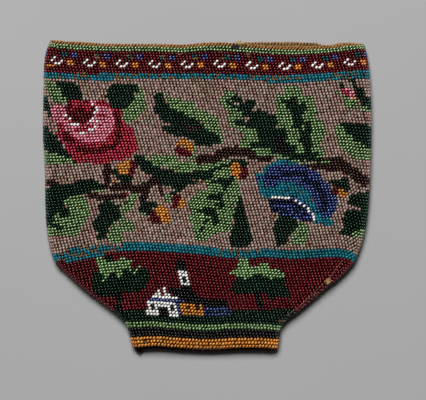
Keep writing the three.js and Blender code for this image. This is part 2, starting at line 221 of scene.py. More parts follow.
# How far some rows lie above or below level on the front, by the level of the row: (x, lift)
UPPER_LEVEL, RIM_LEVEL = 62.6, 78.2
WAVES = {
    -77: [(-42, 0), (-34, 0.9), (-28, 1.3), (-15, 0.4), (0, -0.3), (20, 0.4), (30, 0.3), (40, -0.4)],
    -68.7: [(-48, 0.6), (-39, 1.3), (-31, 1.6), (-17, 0.7), (0, -0.2), (15, 0.6), (28, 0.2), (40, -0.5)],
    -29.4: [
        (-84, -3.8), (-77, -2.7), (-65, -0.2), (-58, 1.2), (-39, 3.1), (-21, 2.4), (0, 0.7), (11, -0.9),
        (21, -1.1), (30, -0.4), (43, -1.2), (53, -1), (64, -0.3), (71, -0.5), (75, -1.6), (78, -3.4),
        (84, -4.6),
    ],
    UPPER_LEVEL: [
        (-86, 2), (-77, 1.6), (-64, 0.6), (-50, 0.1), (-39, -0.1), (0, -0.2), (42, -0.9), (55, -0.2),
        (80, 1.6),
    ],
    RIM_LEVEL: [
        (-83, 1.5), (-77, 0.8), (-65, 0), (-54, -0.5), (-42, -0.7), (-30, -0.7), (-20, -1.1), (-12, -1.3),
        (-3, -0.5), (8, -0.4), (20, -1.3), (45, -2.4), (65, -1.4), (76, 0), (82, 0.8),
    ],
    81.1: [
        (-83, 1), (-77, 0.4), (-65, -0.3), (-54, -1), (-42, -1.2), (-30, -1.2), (-20, -1.4), (-12, -1.5),
        (-3, -0.7), (8, -0.4), (20, -1.3), (45, -2.4), (65, -1.8), (76, -0.9), (82, -1.2),
    ],
}
# The same for the rim of the back
BACK_RIM = [
    (-83, 0.9), (-62, -1.2), (-30, -1.5), (0, -1), (20, -0.1), (52, 0), (57, -0.2), (62, -1.5),
    (66, -1.2), (71, -0.2), (76, -0.2), (82, -1.4),
]

# Pictures on the beads, in millimetres on the front: areas, lines of one or two beads, and single beads.
# An entry may have several outlines. What comes later lies over what comes before.
AREA, LINE, BROAD, DOTS = "area", "line", "broad", "dots"
LEAVES = [
    (AREA, "dark_green",
        [(-80, 60), (-69, 60), (-66, 55), (-66, 51), (-74, 51)],
        [(-88, 38), (-84, 36), (-79, 31), (-73, 22), (-66, 17.5), (-68, 16.5), (-75, 21), (-88, 25)],
        [(-52, 56), (-49, 58.5), (-37, 58.5), (-35.5, 56), (-38, 54), (-38.5, 50), (-40, 47.5),
         (-43, 46.5), (-50, 46.5), (-53, 53)],
        [(-27.5, 53), (-27.5, 45), (-25, 41), (-22, 39), (-24, 37), (-22, 34), (-17, 31.5), (-10, 30.5),
         (-6, 28.5), (-6, 26.5), (8, 27), (9, 30), (-2, 37), (-4, 40), (-20.5, 48), (-24, 55.3)],
        [(-38, 21.6), (-33.5, 21.2), (-29.6, 18), (-29, 16), (-24, 15), (-16, 12.8), (-2, 13),
         (3.5, 14.5), (7.5, 16.3), (11.6, 16.7), (11.6, 15.6), (7.9, 15.2), (3.1, 9.7), (-0.9, 8.6),
         (-4, 8.6), (-7.4, 6.4), (-10.5, 5.6), (-12, 3.2), (-15, 2.6), (-19, 5.2), (-23.2, 5.2),
         (-30, 11.6), (-33, 12.8), (-35, 14), (-36.6, 17)],
        [(13.1, 55.1), (17.8, 51.5), (19.4, 49.8), (22.4, 50.8), (25.1, 50.4), (26.1, 48.8), (23.8, 46.1),
         (24.1, 44.4), (27.1, 45.3), (30.1, 45.1), (31.5, 43.8), (35.8, 43.4), (36.5, 39.7), (36.7, 36.4),
         (40.2, 35.7), (42.5, 33.4), (41.5, 29), (47.4, 25.6), (47.4, 22), (38.5, 21.3), (23.5, 25.5),
         (24, 34), (13, 37), (17, 43), (9, 50)]),
    (AREA, "light_green",
        [(-85, 60.5), (-80, 59.5), (-75.5, 54), (-73, 49.5), (-75, 48), (-81, 50), (-84, 56)],
        [(-88, 24), (-82, 23), (-72, 20), (-68, 16.5), (-80, 17), (-88, 17.5)],
        [(-35, 57), (-33.5, 55.5), (-31.7, 49.4), (-32.6, 44.5), (-39.1, 39.3), (-43.6, 38.2),
         (-46, 41.5), (-45.7, 45.9), (-40.4, 47.1), (-38.3, 50.7), (-38, 53.5)],
        [(-23, 55), (-18, 51), (-8, 50.5), (-5, 46), (1, 43.5), (4.5, 42.5), (7, 37), (7, 33), (9.5, 28),
         (8, 27), (7, 31), (0.5, 34.5), (-4, 40), (-10, 42), (-13, 44.5), (-18, 46), (-20.5, 48)],
        [(-29.8, 21.2), (-16.5, 20.6), (-14.8, 18.5), (-2.4, 16.7), (5, 17.4), (5.7, 18.5), (11.2, 19.3),
         (11.6, 17.4), (3.5, 14.8), (-2.8, 13), (-15, 13), (-20, 15), (-29, 16)],
        [(9.2, 55.3), (13.4, 55.3), (13.7, 50.4), (11.7, 49.8), (9.7, 51.1), (9.6, 48.4), (11.6, 48.4),
         (18.1, 43.8), (18.8, 39.7), (14.4, 39.7), (14.6, 37.1), (19.8, 37.1), (22.1, 35.4), (26.1, 35.4),
         (27.5, 29), (23.1, 29), (23.1, 26), (32.5, 26), (34.5, 24), (34.2, 21.5), (25.8, 21.5),
         (17.4, 26.7), (17.1, 30.4), (19.8, 31), (19.8, 33.4), (16.1, 33.9), (15.1, 35.4), (12.1, 35.4),
         (11.4, 39.7), (10.7, 42.1), (13.1, 43.1), (9, 45.8), (8.7, 47.8), (6.7, 48.4), (6.7, 50.8),
         (8, 52.5)],
        [(40.8, 58.5), (45.7, 58.3), (49.2, 56.8), (50.5, 53), (55.6, 52.7), (56.9, 51.1), (57.2, 48.5),
         (57.3, 41.5), (60, 40.2), (61.9, 33.2), (62.1, 30.7), (59.7, 28.5), (59.7, 26.6), (61.3, 25.3),
         (61.3, 21.2), (60, 19.6), (47, 22.4), (47, 26.3), (44.2, 27.3), (41.9, 28.7), (41.4, 31),
         (42.9, 32.7), (40.8, 34.7), (37.8, 36.4), (36.3, 44.4), (36.2, 51.1), (36.8, 52.8),
         (40.8, 53.5)]),
    (AREA, "brown", [(-12.4, 37), (-2, 36.6), (-0.6, 35), (-12, 34.6)]),
    (AREA, "mauve", [(-24.4, 38.8), (-19, 38.8), (-18.6, 37.2), (-24.4, 37)]),
    (DOTS, "mauve", [(14, 49), (15.8, 48.4), (20.6, 41.2), (21.4, 40), (20.3, 39.2)]),
    (AREA, "dark_green",
        [(-88, 53), (-84, 52), (-82.5, 48), (-82, 41), (-84, 44), (-88, 46)],
        [(39.2, 51.8), (41.4, 49.7), (44, 52), (47, 51.4), (48.3, 49.8), (51, 50), (52.1, 46),
         (49.5, 41.5), (49.7, 39.3), (53.7, 38.7), (54.9, 33.6), (54.9, 23.1), (58.1, 22.8), (57.5, 20.2),
         (51.4, 22.8), (50.8, 28.2), (48.6, 29.1), (49.2, 33.2), (47.2, 35.5), (45, 35.8), (44.5, 37.7),
         (46.5, 38.2), (45.1, 40.9), (44.4, 46), (42, 46.6), (41.5, 48.5), (39.5, 49.5)],
        [(70.5, 38.3), (85.2, 37.4), (88, 36), (88, 25), (85.2, 25.3), (76.6, 29.8), (73.1, 33.6)],
        [(-85.6, 3.4), (-78.8, 6.6), (-70.4, 6.3), (-68.3, 9.2), (-60.4, 9.2), (-54.6, 6), (-54.1, 3.9),
         (-58.3, 3.2), (-63, 1.3), (-75.6, -3.4), (-73, -6.6), (-74.3, -10.2), (-76.7, -11), (-84, -16.5),
         (-88, -16)],
        [(-35.4, -3), (-26, -3.2), (-26, -5), (-28.2, -6), (-30.8, -9.6), (-34.6, -9.6), (-35.4, -7)]),
    (DOTS, "light_green", [(-33, 21.2), (-31.8, 20.2), (50.8, 36.8), (51.1, 35.4), (49.5, 48.2)]),
    (AREA, "black", [(35.6, 31.6), (39.8, 31.8), (42.4, 23), (37.6, 22.4), (36.2, 26)]),
    (AREA, "light_green",
        [(69.3, 38.3), (70.8, 37.4), (73.1, 33.6), (75.6, 32.3), (76.6, 29.8), (79.8, 28.5), (85.2, 25.3),
         (88, 22.4), (86, 19.9), (75.9, 19.6), (74.7, 22.4), (71.5, 25.3), (68.9, 25.9), (66.9, 36.1)],
        [(-69.9, 0.8), (-64.1, 0.3), (-61.5, -8.7), (-63.6, -12.9), (-66.2, -15.5), (-66.7, -19.7),
         (-71.4, -20.5), (-82.5, -21), (-88, -20), (-84.5, -18.1), (-77.7, -6.6), (-76.7, -11.3),
         (-72.5, -10.2), (-73, -6), (-75.6, -3.4), (-74, -0.8)],
        [(-44.1, -3.4), (-39.4, 0.8), (-37.3, 1.8), (-36.2, -0.3), (-38.9, -6), (-42, -8.7),
         (-45.2, -10.2)],
        [(7.6, 15.2), (12.3, 15.4), (12.5, 10), (14.6, 10.8), (16.8, 3.8), (17.1, 0.8), (16.4, -2.1),
         (14.9, -5), (13.4, -12.4), (13.8, -16.5), (11.6, -18.3), (4.2, -19.4), (-0.2, -23.1),
         (-5.3, -22.7), (-7.9, -19.4), (-7.2, -14.6), (-9.8, -11.7), (-8.7, -8.7), (-9.4, -2.8),
         (-5.3, 0.8), (-5, 2.7), (-0.2, 3.8), (-0.6, 8.2), (3.1, 9.7), (3.1, 12.3)]),
    (LINE, "dark_green", [(-81.4, -15.8), (-76.6, -15.8)]),
    (DOTS, "dark_green", [(-73.2, -8.3), (-73.4, -9.8)]),
    (LINE, "light_green", [(-58, 2.9), (-54.4, 2.9)]),
    (DOTS, "brown", [(52.1, 38.3), (47, 50.3), (-42.6, -3.7)]),
    (AREA, "dark_green",
        [(-57.3, -5), (-54.6, -2.4), (-51, -1.8), (-48.9, -4.5), (-45.7, -5), (-45.2, -8.1),
         (-46.2, -12.3), (-47.8, -13.4), (-49.4, -12.3), (-52.5, -19.7), (-52.5, -22.3), (-58.3, -22.3),
         (-57.3, -19.2), (-59.4, -17.1), (-60.4, -14.4), (-58.8, -11.8), (-56.7, -10.8), (-56.2, -7.1)],
        [(14.2, 11.2), (12.7, 6.7), (10.1, 4.2), (8.3, 0.5), (8.7, -3.6), (7.9, -6.9), (5, -8.4),
         (5.7, -14.6), (3.9, -15.7), (2.4, -13.2), (3.1, -8), (4.6, -3.6), (8.7, 2.3), (8.7, 5.6),
         (12.7, 9.7), (12.5, 14.5)],
        [(2, 8.9), (12.7, 9.3), (11.6, 6.7), (2.4, 7.1)],
        [(0.2, 0.5), (8.7, 1.6), (7.9, -2.1), (0.6, -1)],
        [(-5.7, -6.9), (3.1, -6.2), (2.8, -9.1), (0.2, -11), (-1, -8.9), (-5.3, -8.7)],
        [(0.2, -10.6), (1.7, -10.6), (0.6, -12.8), (-1.3, -15.4), (-2.4, -19), (-3.5, -18.3),
         (-2, -14.6)],
        [(16.8, 0.8), (18.6, -1.4), (21.6, -12.4), (24.1, -23.1), (21.2, -26), (13.4, -26.4),
         (11.2, -23.8), (14.2, -16.5), (14.2, -10.6)],
        [(74.6, -0.3), (77.7, 1.3), (81.4, 2.4), (88, 2.9), (88, -5), (83.5, -6.6), (76.1, -5),
         (74.6, -3.4)],
        [(72.5, -8.1), (76.1, -7.1), (80.3, -7.1), (88, -5), (88, -14), (76.1, -20.7), (70.4, -20.7),
         (69.8, -18.6), (71.9, -16.5), (71.4, -12.3)],
        [(37.8, -9.7), (41, -8.1), (47.8, -11.8), (47.3, -15), (45.2, -18.1), (43.1, -21.8),
         (40.4, -25.5), (37.3, -26), (34.7, -18.6), (35.7, -13.4)]),
    (DOTS, "light_green", [(-33.6, -9), (-31.8, -9), (6, -2.8), (4.6, -5.8), (5.3, -7.6)]),
    (AREA, "light_green",
        [(-49.4, -12.3), (-47.8, -15), (-45.7, -15.5), (-45.7, -12.3), (-45.2, -7.6), (-42.8, -6.6),
         (-43.4, -10), (-42, -12.3), (-39.9, -13.1), (-37.8, -15.5), (-38.4, -18.4), (-43.9, -17.6),
         (-44.1, -22.3), (-45.7, -24.9), (-49.4, -24.9), (-53, -23.1)],
        [(75, -20), (79, -18), (88, -16.5), (86, -22), (77, -21.5)],
        [(47.3, -12.9), (53, -14.4), (53.6, -17.6), (53, -21.8), (50.9, -24.9), (46.7, -26), (42, -26),
         (44.1, -22.8), (47.3, -15.5)]),
]
BRANCHES = [
    (AREA, "brown",
        [(51, 16.8), (55.5, 17.3), (60, 19.3), (63, 20.2), (69.4, 21), (73, 19.2), (79, 13.5),
         (83.3, 11.2), (88, 9), (88, 5.2), (81, 6), (77.7, 7.4), (75.2, 9.2), (74.3, 11.7), (69.8, 12.6),
         (52, 15.2)],
        [(-5.3, 19.6), (-4.6, 21.8), (-0.4, 21.8), (3.4, 22.4), (10, 26.4), (16.8, 26.2), (20, 25),
         (24.4, 24.6), (25.8, 21.6), (34.6, 21.6), (35.4, 19.6), (33.5, 18.2), (29, 18), (24, 19.6),
         (20, 20.6), (12, 21), (7, 18.4), (4, 17.7), (0, 18), (-3, 16.8), (-5, 17)],
        [(-54.6, 17.4), (-50.2, 17.4), (-50.2, 12), (-51, 7), (-51.5, 4.6), (-54.2, 4.6)],
        [(-88, 9), (-80, 8.5), (-80, 5.5), (-88, 5)],
        [(-63, 1.5), (-53, 1.4), (-43, 1.7), (-41, 0.9), (-43.6, -1.3), (-48.9, -1.8), (-62.5, -1.6)],
        [(-54, 5.6), (-50, 6), (-46, 7.6), (-42, 7.2), (-39, 6.4), (-36, 6.2), (-33, 7.4), (-30.5, 8.9),
         (-28, 9.8), (-24.6, 10), (-22.6, 1), (-24.2, -0.6), (-25.4, 5.6), (-30, 4.9), (-30.4, 1),
         (-31.6, -3), (-35.2, -3.4), (-35.2, 0), (-35.4, 2.2), (-40, 1.8), (-42, 3), (-53.6, 3.4)]),
    (DOTS, "maroon", [(-44.6, 0.8), (-43, 1)]),
    (AREA, "dark_green", [(37.6, 22), (52.5, 22), (60.2, 20), (60, 18.6), (50, 18.9), (37.6, 20.4)]),
    (LINE, "light_green", [(36, 22), (37.3, 20.8), (43.4, 20.5)], [(41, 19.3), (49.6, 18)]),
    (DOTS, "light_green", [(50.8, 18), (52.4, 17.9), (57.8, 17.9), (61.2, 18), (62.8, 18), (64.4, 18)]),
]
BERRIES = [
    (AREA, "maroon",
        [(-16.6, 27.8), (-15.4, 26.4), (-11, 25.4), (-8, 22.8), (-8.6, 21.2), (-13.5, 20.6),
         (-16.4, 23.2)],
        [(-28.6, -6.8), (-22.4, -13.6), (-24, -14.4), (-27.5, -14.2), (-30.2, -12.4), (-30.8, -9.4)]),
    (AREA, "gold",
        [(-15.8, 28.6), (-14, 30.2), (-10, 30.2), (-7.6, 27), (-6.8, 24), (-8, 22.7), (-11, 25.6),
         (-15.4, 26.6)],
        [(-43.6, 18.2), (-40.6, 18.2), (-40.6, 15), (-41, 11.6), (-45.9, 11.6), (-47, 16.4),
         (-44.5, 16.8)],
        [(-27.8, -6), (-24.4, -4.4), (-20.6, -7), (-18.7, -11), (-19.2, -13), (-21, -14.3), (-24.4, -12),
         (-24.9, -10.2), (-27.2, -9.8), (-27.8, -8)]),
    (AREA, "light_green",
        [(-7.2, 26.2), (-4.6, 25.6), (-4.4, 23.6), (-6.4, 19.2), (-10.6, 19.4), (-10, 20.8), (-8, 21.4),
         (-6.6, 24)],
        [(-22.6, -1), (-21.5, 0.9), (-17.8, 0.9), (-18.2, -3.5), (-22, -3.3)]),
    (AREA, "dark_green",
        [(-49.6, 14.6), (-46.3, 14.5), (-46, 11.8), (-41.5, 11.4), (-38.8, 10), (-39.5, 8), (-43, 7.2),
         (-46, 8), (-48, 10.5), (-49.8, 12)],
        [(12, 18.4), (14, 19.8), (18.6, 19.6), (21.2, 18), (21.4, 15.4), (12.6, 17.2)],
        [(64.6, 8.1), (67.7, 9.2), (72.5, 9.7), (75.1, 8.1), (75.1, 4.5), (73.5, 2.4), (67.2, 5),
         (65.1, 6.6)]),
    (DOTS, "light_green", [(-47.8, 15.4), (-47, 14.8)]),
    (DOTS, "gold", [(-49.2, 7.5)]),
    (DOTS, "dark_green", [(-19, 1.7), (-17.4, 1.7)]),
    (AREA, "maroon",
        [(-40.6, 18.6), (-38, 18.4), (-37.4, 15), (-37.8, 11.5), (-39, 10), (-41.4, 10.3), (-40.6, 15)],
        [(-17.9, 0.2), (-14.6, 0.3), (-14.2, -1.4), (-15.2, -7), (-19, -6.2)],
        [(17.7, 15.8), (21.9, 15.4), (22, 11.9), (20.8, 9.4), (17.2, 9.4)],
        [(65.5, 5.5), (68, 5), (69, 2), (68.5, 0), (66.5, 1.5)]),
    (AREA, "gold",
        [(-13.8, -1.2), (-12.2, -1.3), (-11.7, -4), (-13.6, -7.1), (-15.2, -6.2), (-15.4, -3.2)],
        [(12.3, 17.3), (17.6, 17.3), (18.3, 13.7), (17, 9.6), (15.3, 9.8), (12.5, 13.4)],
        [(69, 4.5), (74, 2), (72, 0), (69.5, 0)]),
]
ROSE = [
    (AREA, "crimson",
        [(-66.3, 51), (-53.2, 50.4), (-50.6, 48.4), (-49.9, 46), (-45.9, 46), (-44.9, 44.3),
         (-44.7, 40.3), (-38.9, 35), (-36.2, 28.9), (-36.5, 25.6), (-41.9, 19.6), (-48.9, 18.9),
         (-51.6, 17.2), (-67, 17.2), (-70, 19.2), (-74.7, 24.2), (-75, 27.6), (-78.4, 31.6),
         (-79.2, 35.6), (-78.5, 38.3), (-81.4, 40.3), (-74, 47.7), (-73.7, 50.4)]),
    (AREA, "pink",
        [(-82, 47.3), (-74, 47.7), (-74, 43), (-77, 38.3), (-80.7, 40.3), (-82, 43)],
        [(-78.7, 39.3), (-72.3, 39.6), (-71, 37.6), (-64.3, 37.6), (-62.3, 39.3), (-59.6, 41.7),
         (-58.3, 48), (-55.9, 48), (-50.2, 46.3), (-47.9, 39), (-49.9, 35), (-51.6, 33), (-52.2, 30.6),
         (-54.2, 28.6), (-65.3, 28.6), (-74, 33.6), (-75, 37.3)],
        [(-62.6, 49.4), (-58, 49.4), (-58, 51), (-62.6, 51)]),
    (AREA, "maroon",
        [(-73.7, 50), (-71.7, 50.5), (-61.6, 50), (-58.3, 44.7), (-63.3, 38.3), (-70.3, 39.3),
         (-73.7, 42.7)]),
    (AREA, "crimson",
        [(-71.7, 50.5), (-65, 50.7), (-63.6, 49), (-60.9, 48.7), (-60.3, 45), (-61.9, 44), (-66.3, 47),
         (-71.8, 45)]),
    (LINE, "crimson",
        [(-69, 35.5), (-62.8, 35.5)],
        [(-62.3, 37), (-59.6, 37)],
        [(-56.6, 42.6), (-52.4, 41.8)]),
    (BROAD, "maroon",
        [(-74, 32.6), (-73.3, 30.3), (-71.7, 28.9)],
        [(-67.6, 24.6), (-63.6, 24.2), (-59.6, 23.6), (-54.9, 24.9), (-49.6, 25.6)],
        [(-47.9, 43.3), (-46.5, 36.3), (-46.2, 33.6), (-46.5, 30.6), (-47.9, 27.9), (-49.6, 25.6)]),
    (DOTS, "white",
        [(-73.5, 42), (-71.5, 40.3), (-71, 38.6), (-69.3, 38.6), (-67.5, 38.6), (-66.5, 34), (-64.5, 34),
         (-62.5, 34.2), (-61.3, 35.3), (-59.5, 35.3), (-58.3, 37), (-57.3, 39), (-61.3, 39.8),
         (-60, 41.2), (-59, 43.8), (-57.2, 45), (-57.7, 46.5), (-59.6, 48.3)]),
]
FLOWER = [
    (AREA, "blue",
        [(26.4, 11.6), (30, 11.9), (32.7, 16.4), (46.3, 17.9), (56.2, 13.7), (59.3, 11.6), (61.4, 8),
         (64.4, 6.5), (65.3, 2.5), (68, 0.7), (68.9, -3.5), (67.7, -7.4), (63.4, -11.4), (56, -13),
         (50, -13.5), (44, -11), (34, -8), (32.7, -2.3), (26.4, 8.6)]),
    (AREA, "turquoise",
        [(36.4, 19.4), (41.2, 17), (36.4, 16.6)],
        [(37.3, 7.7), (47.5, 8), (47.8, 5.9), (53.8, 3.1), (54.7, 1), (54.1, -0.5), (56.8, -3.2),
         (57.1, -5.9), (60.5, -11), (63.4, -11.2), (67.5, -13.8), (67, -15), (55.8, -14.8), (56.5, -8.6),
         (54.1, -5.6), (47.5, -1.1), (44.5, 0.1), (33.3, 0.1), (32.1, -2.3), (27.6, 1.6), (26.7, 4.6),
         (27, 8.6), (29.7, 8.6), (30.3, 5), (37, 5)]),
    (LINE, "turquoise",
        [(26.7, 11.6), (30.3, 11.9), (30.9, 14.6), (33, 16.1), (40.3, 18.5), (43.9, 17.6), (46.9, 17.3)]),
    (BROAD, "navy",
        [(39.7, 12.2), (51.1, 12.2)],
        [(52.4, 8.4), (54.5, 8)],
        [(57.8, 6.5), (58.7, 3.1), (60.5, 1.6), (61.7, -2), (61.4, -6.5)]),
    (LINE, "navy", [(31.2, 10.7), (37.3, 10.4)]),
    (AREA, "navy",
        [(32.7, -1.7), (43.9, -1.7), (46.9, -2.9), (51.1, -5.9), (55.3, -13), (49.9, -13.4),
         (48.7, -10.4), (34.2, -8.3)]),
    (LINE, "blue", [(35.1, -4.7), (46.3, -4.7)]),
    (DOTS, "blue",
        [(43, -6.4), (44.8, -6.4), (38.8, -7.7), (44.8, -7.7), (50.2, -7.7), (42.1, -8.9), (43.9, -8.9),
         (47.5, -8.9), (49.3, -8.9), (50.8, -10.7), (52.3, -10.7)]),
    (DOTS, "white",
        [(34.3, -0.7), (36.2, -0.7), (38, -0.7), (39.6, -0.9), (41.4, -0.4), (43.2, -0.6), (46.8, -1.6),
         (49, -3), (51.2, -4.5), (53.2, -6), (53.6, -7.4), (55.6, -8.9), (56, -10.6), (56.4, -12)]),
]
ROSEBUD = [
    (AREA, "dark_green",
        [(69.6, 59.7), (72.2, 59.7), (72.4, 57.4), (69, 56.4)],
        [(75.1, 61), (77.8, 61), (78.4, 58), (81.3, 57.6), (82.3, 53.9), (85, 52.6), (88, 52), (88, 45.8),
         (85, 46.4), (81.3, 48.5), (79.4, 50.7), (77.8, 56.4)]),
    (AREA, "light_green",
        [(71.3, 53.5), (72.8, 53.5), (78.5, 50.4), (79.4, 48.8), (81.3, 47.7), (83.9, 47.5), (88, 44.5),
         (83.3, 45), (73.4, 46.9)],
        [(67.7, 55.6), (70.4, 55.6), (70.4, 53.8), (67.7, 53.8)]),
    (AREA, "pink",
        [(72.8, 57.7), (75.6, 57.7), (75.9, 55.8), (77.8, 55.5), (78.5, 51.1), (75.6, 51.1), (74.7, 54.9),
         (72.8, 55.8)]),
    (AREA, "crimson", [(70.8, 56.2), (72.4, 56.2), (74.7, 52.7), (71.2, 53.9)]),
    (DOTS, "gold", [(78, 52)]),
]
LANDSCAPE = [
    (AREA, "dark_green",
        [(-1, -63), (48, -63), (46, -59.3), (-1, -59.3)],
        [(-59, -40), (-42, -36), (-39, -38), (-31.7, -38.1), (-30.5, -43.5), (-32.3, -48.9), (-40, -50.5),
         (-46, -51), (-51, -53), (-58.2, -52.3), (-60.8, -47.8), (-61, -44.4)],
        [(-53.6, -31.6), (-50.4, -31.2), (-49, -33.2), (-52, -35)],
        [(15.2, -43), (25.2, -39.8), (41.5, -42.8), (42, -44.4), (40.4, -45.9), (42.5, -48), (43, -52.8),
         (38.3, -52.2), (34.7, -54.3), (32.6, -53.8), (33.1, -52.2), (31, -51.2), (15.2, -50.7),
         (12.1, -49.1)]),
    (AREA, "light_green",
        [(-59, -32), (-55.8, -31.4), (-52.2, -34.4), (-47.6, -33.8), (-46, -32.2), (-39.4, -33.2),
         (-39.6, -35.2), (-40.4, -37.2), (-45, -38), (-44.2, -40.6), (-46, -42.6), (-47.6, -41.2),
         (-47, -39.6), (-49.7, -39.7), (-50.8, -40.4), (-50.9, -41.8), (-54.6, -44.4), (-54.4, -42.2),
         (-55.6, -41), (-55.6, -39.4), (-57.6, -39.8), (-55.9, -37.6), (-58.6, -36.8), (-58.4, -34.7)],
        [(16.3, -32.8), (21.5, -32.8), (24.2, -38.6), (26.3, -36), (28.9, -35.4), (32, -35.4),
         (33.1, -38.1), (35.7, -37.5), (42, -41.2), (41.5, -43.3), (37.8, -42.3), (34.7, -43.3),
         (32, -42.8), (25.7, -40.2), (23.6, -42.3), (21, -43.3), (17.3, -43.3), (15.2, -41.7),
         (12.1, -40.7), (12.1, -39.6), (15.2, -38.6), (16.3, -36)]),
    (DOTS, "light_green", [(-40.4, -38.3), (-36.3, -37.3), (-37.7, -38.4), (-38.7, -40), (-37.3, -40.1)]),
    (AREA, "black",
        [(-48, -51), (-44.5, -51), (-45, -59.5), (-48, -59.5)],
        [(25.2, -49.6), (28.9, -49.6), (28.9, -54.3), (29.4, -59.6), (26.3, -59.6)],
        [(-20.8, -47.4), (-9, -47.4), (-3, -53.6), (10.7, -53.8), (11, -58.2), (-1.4, -58.6),
         (-14.6, -54.6), (-19, -51)],
        [(-17.8, -38.6), (-15, -33.4), (-13, -33.4), (-10.1, -38.6)],
        [(-31.5, -55), (-16.4, -55.6), (-14.8, -62.6), (-31.5, -62.3)]),
    (AREA, "white", [(-16.3, -38.7), (-10.9, -38.9), (-8.9, -47.4), (-14.3, -47.3)]),
    (LINE, "white", [(-28.3, -52.5), (-24.8, -49.6)], [(-28, -52.5), (-15.8, -53.8)]),
    (DOTS, "white", [(-21.8, -48.5), (-21.5, -50.1), (-24.6, -51.3), (-21.3, -51.7), (-19.6, -51.7)]),
    (LINE, "blue",
        [(-29.1, -53.8), (-12, -55.4)],
        [(-15.4, -56.5), (-14, -61.9)],
        [(-0.4, -59.2), (10.7, -59.2)],
        [(-0.4, -61.8), (9, -61.8), (12.6, -60.9)]),
    (AREA, "white",
        [(-31.7, -54.3), (-16.4, -55.4), (-14.8, -62.8), (-20.2, -62.6), (-20.8, -58.2), (-25.2, -57.8),
         (-25.8, -62.4), (-31.5, -62.3)]),
    (DOTS, "black", [(-12.8, -42.5), (-12.3, -43.9)]),
    (AREA, "gold", [(-14, -56.8), (-10.2, -55.8), (-2.9, -56), (-1.5, -62.4), (-12.9, -62.4)]),
    (DOTS, "black",
        [(-29, -56.8), (-29, -58.3), (-18.2, -57.7), (-18, -59), (-9.9, -57.8), (-9.9, -59.2),
         (-4.9, -58), (-4.5, -59.2)]),
    (DOTS, "blue", [(-0.4, -60.4), (4.7, -60.4), (9.4, -60.4)]),
]
PICTURES = [*LEAVES, *BRANCHES, *BERRIES, *ROSE, *FLOWER, *ROSEBUD, *LANDSCAPE]
LINE_WIDTH = {LINE: 1.6, BROAD: 3.1}

# The green of the trees, and less so of the rows at the foot, is paler than that of the leaves:
# below which y, and by how much
PALE_GREENS = [(-30, 0.38), (-64, 0.15)]
# Below this y the maroon darkens: by how much, from which x to the left, how close to the right edge,
# and over what way each sets in. Near the right edge this is painted shade of the fold turned away from
# the lamp; to the left the maroon is darker the further left it lies
MAROON_DARKER_BELOW = -30
MAROON_DARKENING = 0.35
DARKER_LEFT_FROM = -45
DARKER_LEFT_FADE = 25
FOLD_SHADE_REACH = 5
FOLD_SHADE_FADE = 4

# Spots on the front where beads are lost and the knitting shows: x, y, reach
WORN = [
    (-64.6, 63.6, 1.3), (-77.5, 62.4, 0.9), (-69, 62.5, 1.2), (-47, 63.2, 1.5), (-39, 63.3, 0.8),
    (-25, 63.3, 1.1), (-18.8, 61.8, 1.2), (-7.3, 61.9, 1.1), (-4.2, 62.8, 0.9), (4.2, 62.4, 0.9),
    (11.5, 62.8, 1), (14, 61.6, 1), (23.7, 62.1, 1), (27.3, 62.4, 1), (34.6, 62.2, 1), (41.2, 63.3, 0.9),
    (48.2, 62, 1.3), (67, 64, 1.1), (77.5, 64.3, 0.9), (79.2, 63.3, 0.8), (-57, 72.7, 1), (-25, 73.3, 1),
    (-14.8, 74.6, 0.9), (-7.6, 72.8, 0.9), (21.7, 74, 0.9), (11, 73.4, 0.8), (-73.3, -29, 1),
    (-69.3, -30.6, 1.2), (-66.2, -27.4, 0.9), (-66, -31.6, 1), (-62.8, -26.2, 0.8), (-49, -27.8, 1.1),
    (-45, -26.4, 1), (-6.6, 8.2, 0.9), (-5.4, 6.4, 0.9), (-2.6, 6.4, 0.8), (-1.2, 7.8, 0.8),
    (-58.8, 73.6, 1), (-40.2, 73, 1), (-41.8, 74.2, 0.8), (-22.8, 73, 1), (-6.2, 72.4, 0.9),
    (8.5, 73, 0.9), (34.4, -11.4, 1.2), (49.2, 2.4, 0.8), (55.4, -1.3, 0.8), (12, -29, 1), (17, -30, 1.1),
    (21, -28.6, 0.9), (-33, -76, 1), (38.5, -65.2, 1.3),
]
# Soiled spots on the front: x, y, reach, and how much darker
STAINS = [
    (-2.6, 57.6, 6, 0.3), (4, 56, 3.5, 0.15), (-34, 42, 5, 0.12), (30, 3, 6, 0.12), (-68, -24, 5, 0.1),
    (44, -29, 9, 0.15), (60, -29.5, 9, 0.1), (24, -29, 6, 0.12), (-10, 3, 5, 0.15),
]
# Share of beads lost along the turquoise rows: the upper ones, and the lower ones by x
WEAR_UPPER = 0.07
WEAR_ALONG = [
    (-88, 0.12), (-70, 0.3), (-52, 0.2), (-40, 0.06), (0, 0.03), (8, 0.12), (24, 0.12), (32, 0.02),
    (88, 0.02),
]


# Shape of the pouch

def through(knots, places):
    """A smooth curve through knots of (place, value), read off at the places."""
    at, value = np.array(knots, float).T
    slope = np.gradient(value, at)
    places = np.clip(places, at[0], at[-1])
    i = np.clip(np.searchsorted(at, places, side="right") - 1, 0, len(at) - 2)
    span = at[i + 1] - at[i]
    s = (places - at[i]) / span
    rise = s * s * (3 - 2 * s)
    lean = s * (1 - s) * ((1 - s) * slope[i] - s * slope[i + 1]) * span
    return value[i] * (1 - rise) + value[i + 1] * rise + lean


def edge(side, y):
    """How far the pouch reaches to that side (-1 left, 1 right) at y."""
    left = through([(h, -l) for h, l, _ in EDGES], y - FOOT)
    right = through([(h, r) for h, _, r in EDGES], y - FOOT)
    return np.where(side < 0, left, right)


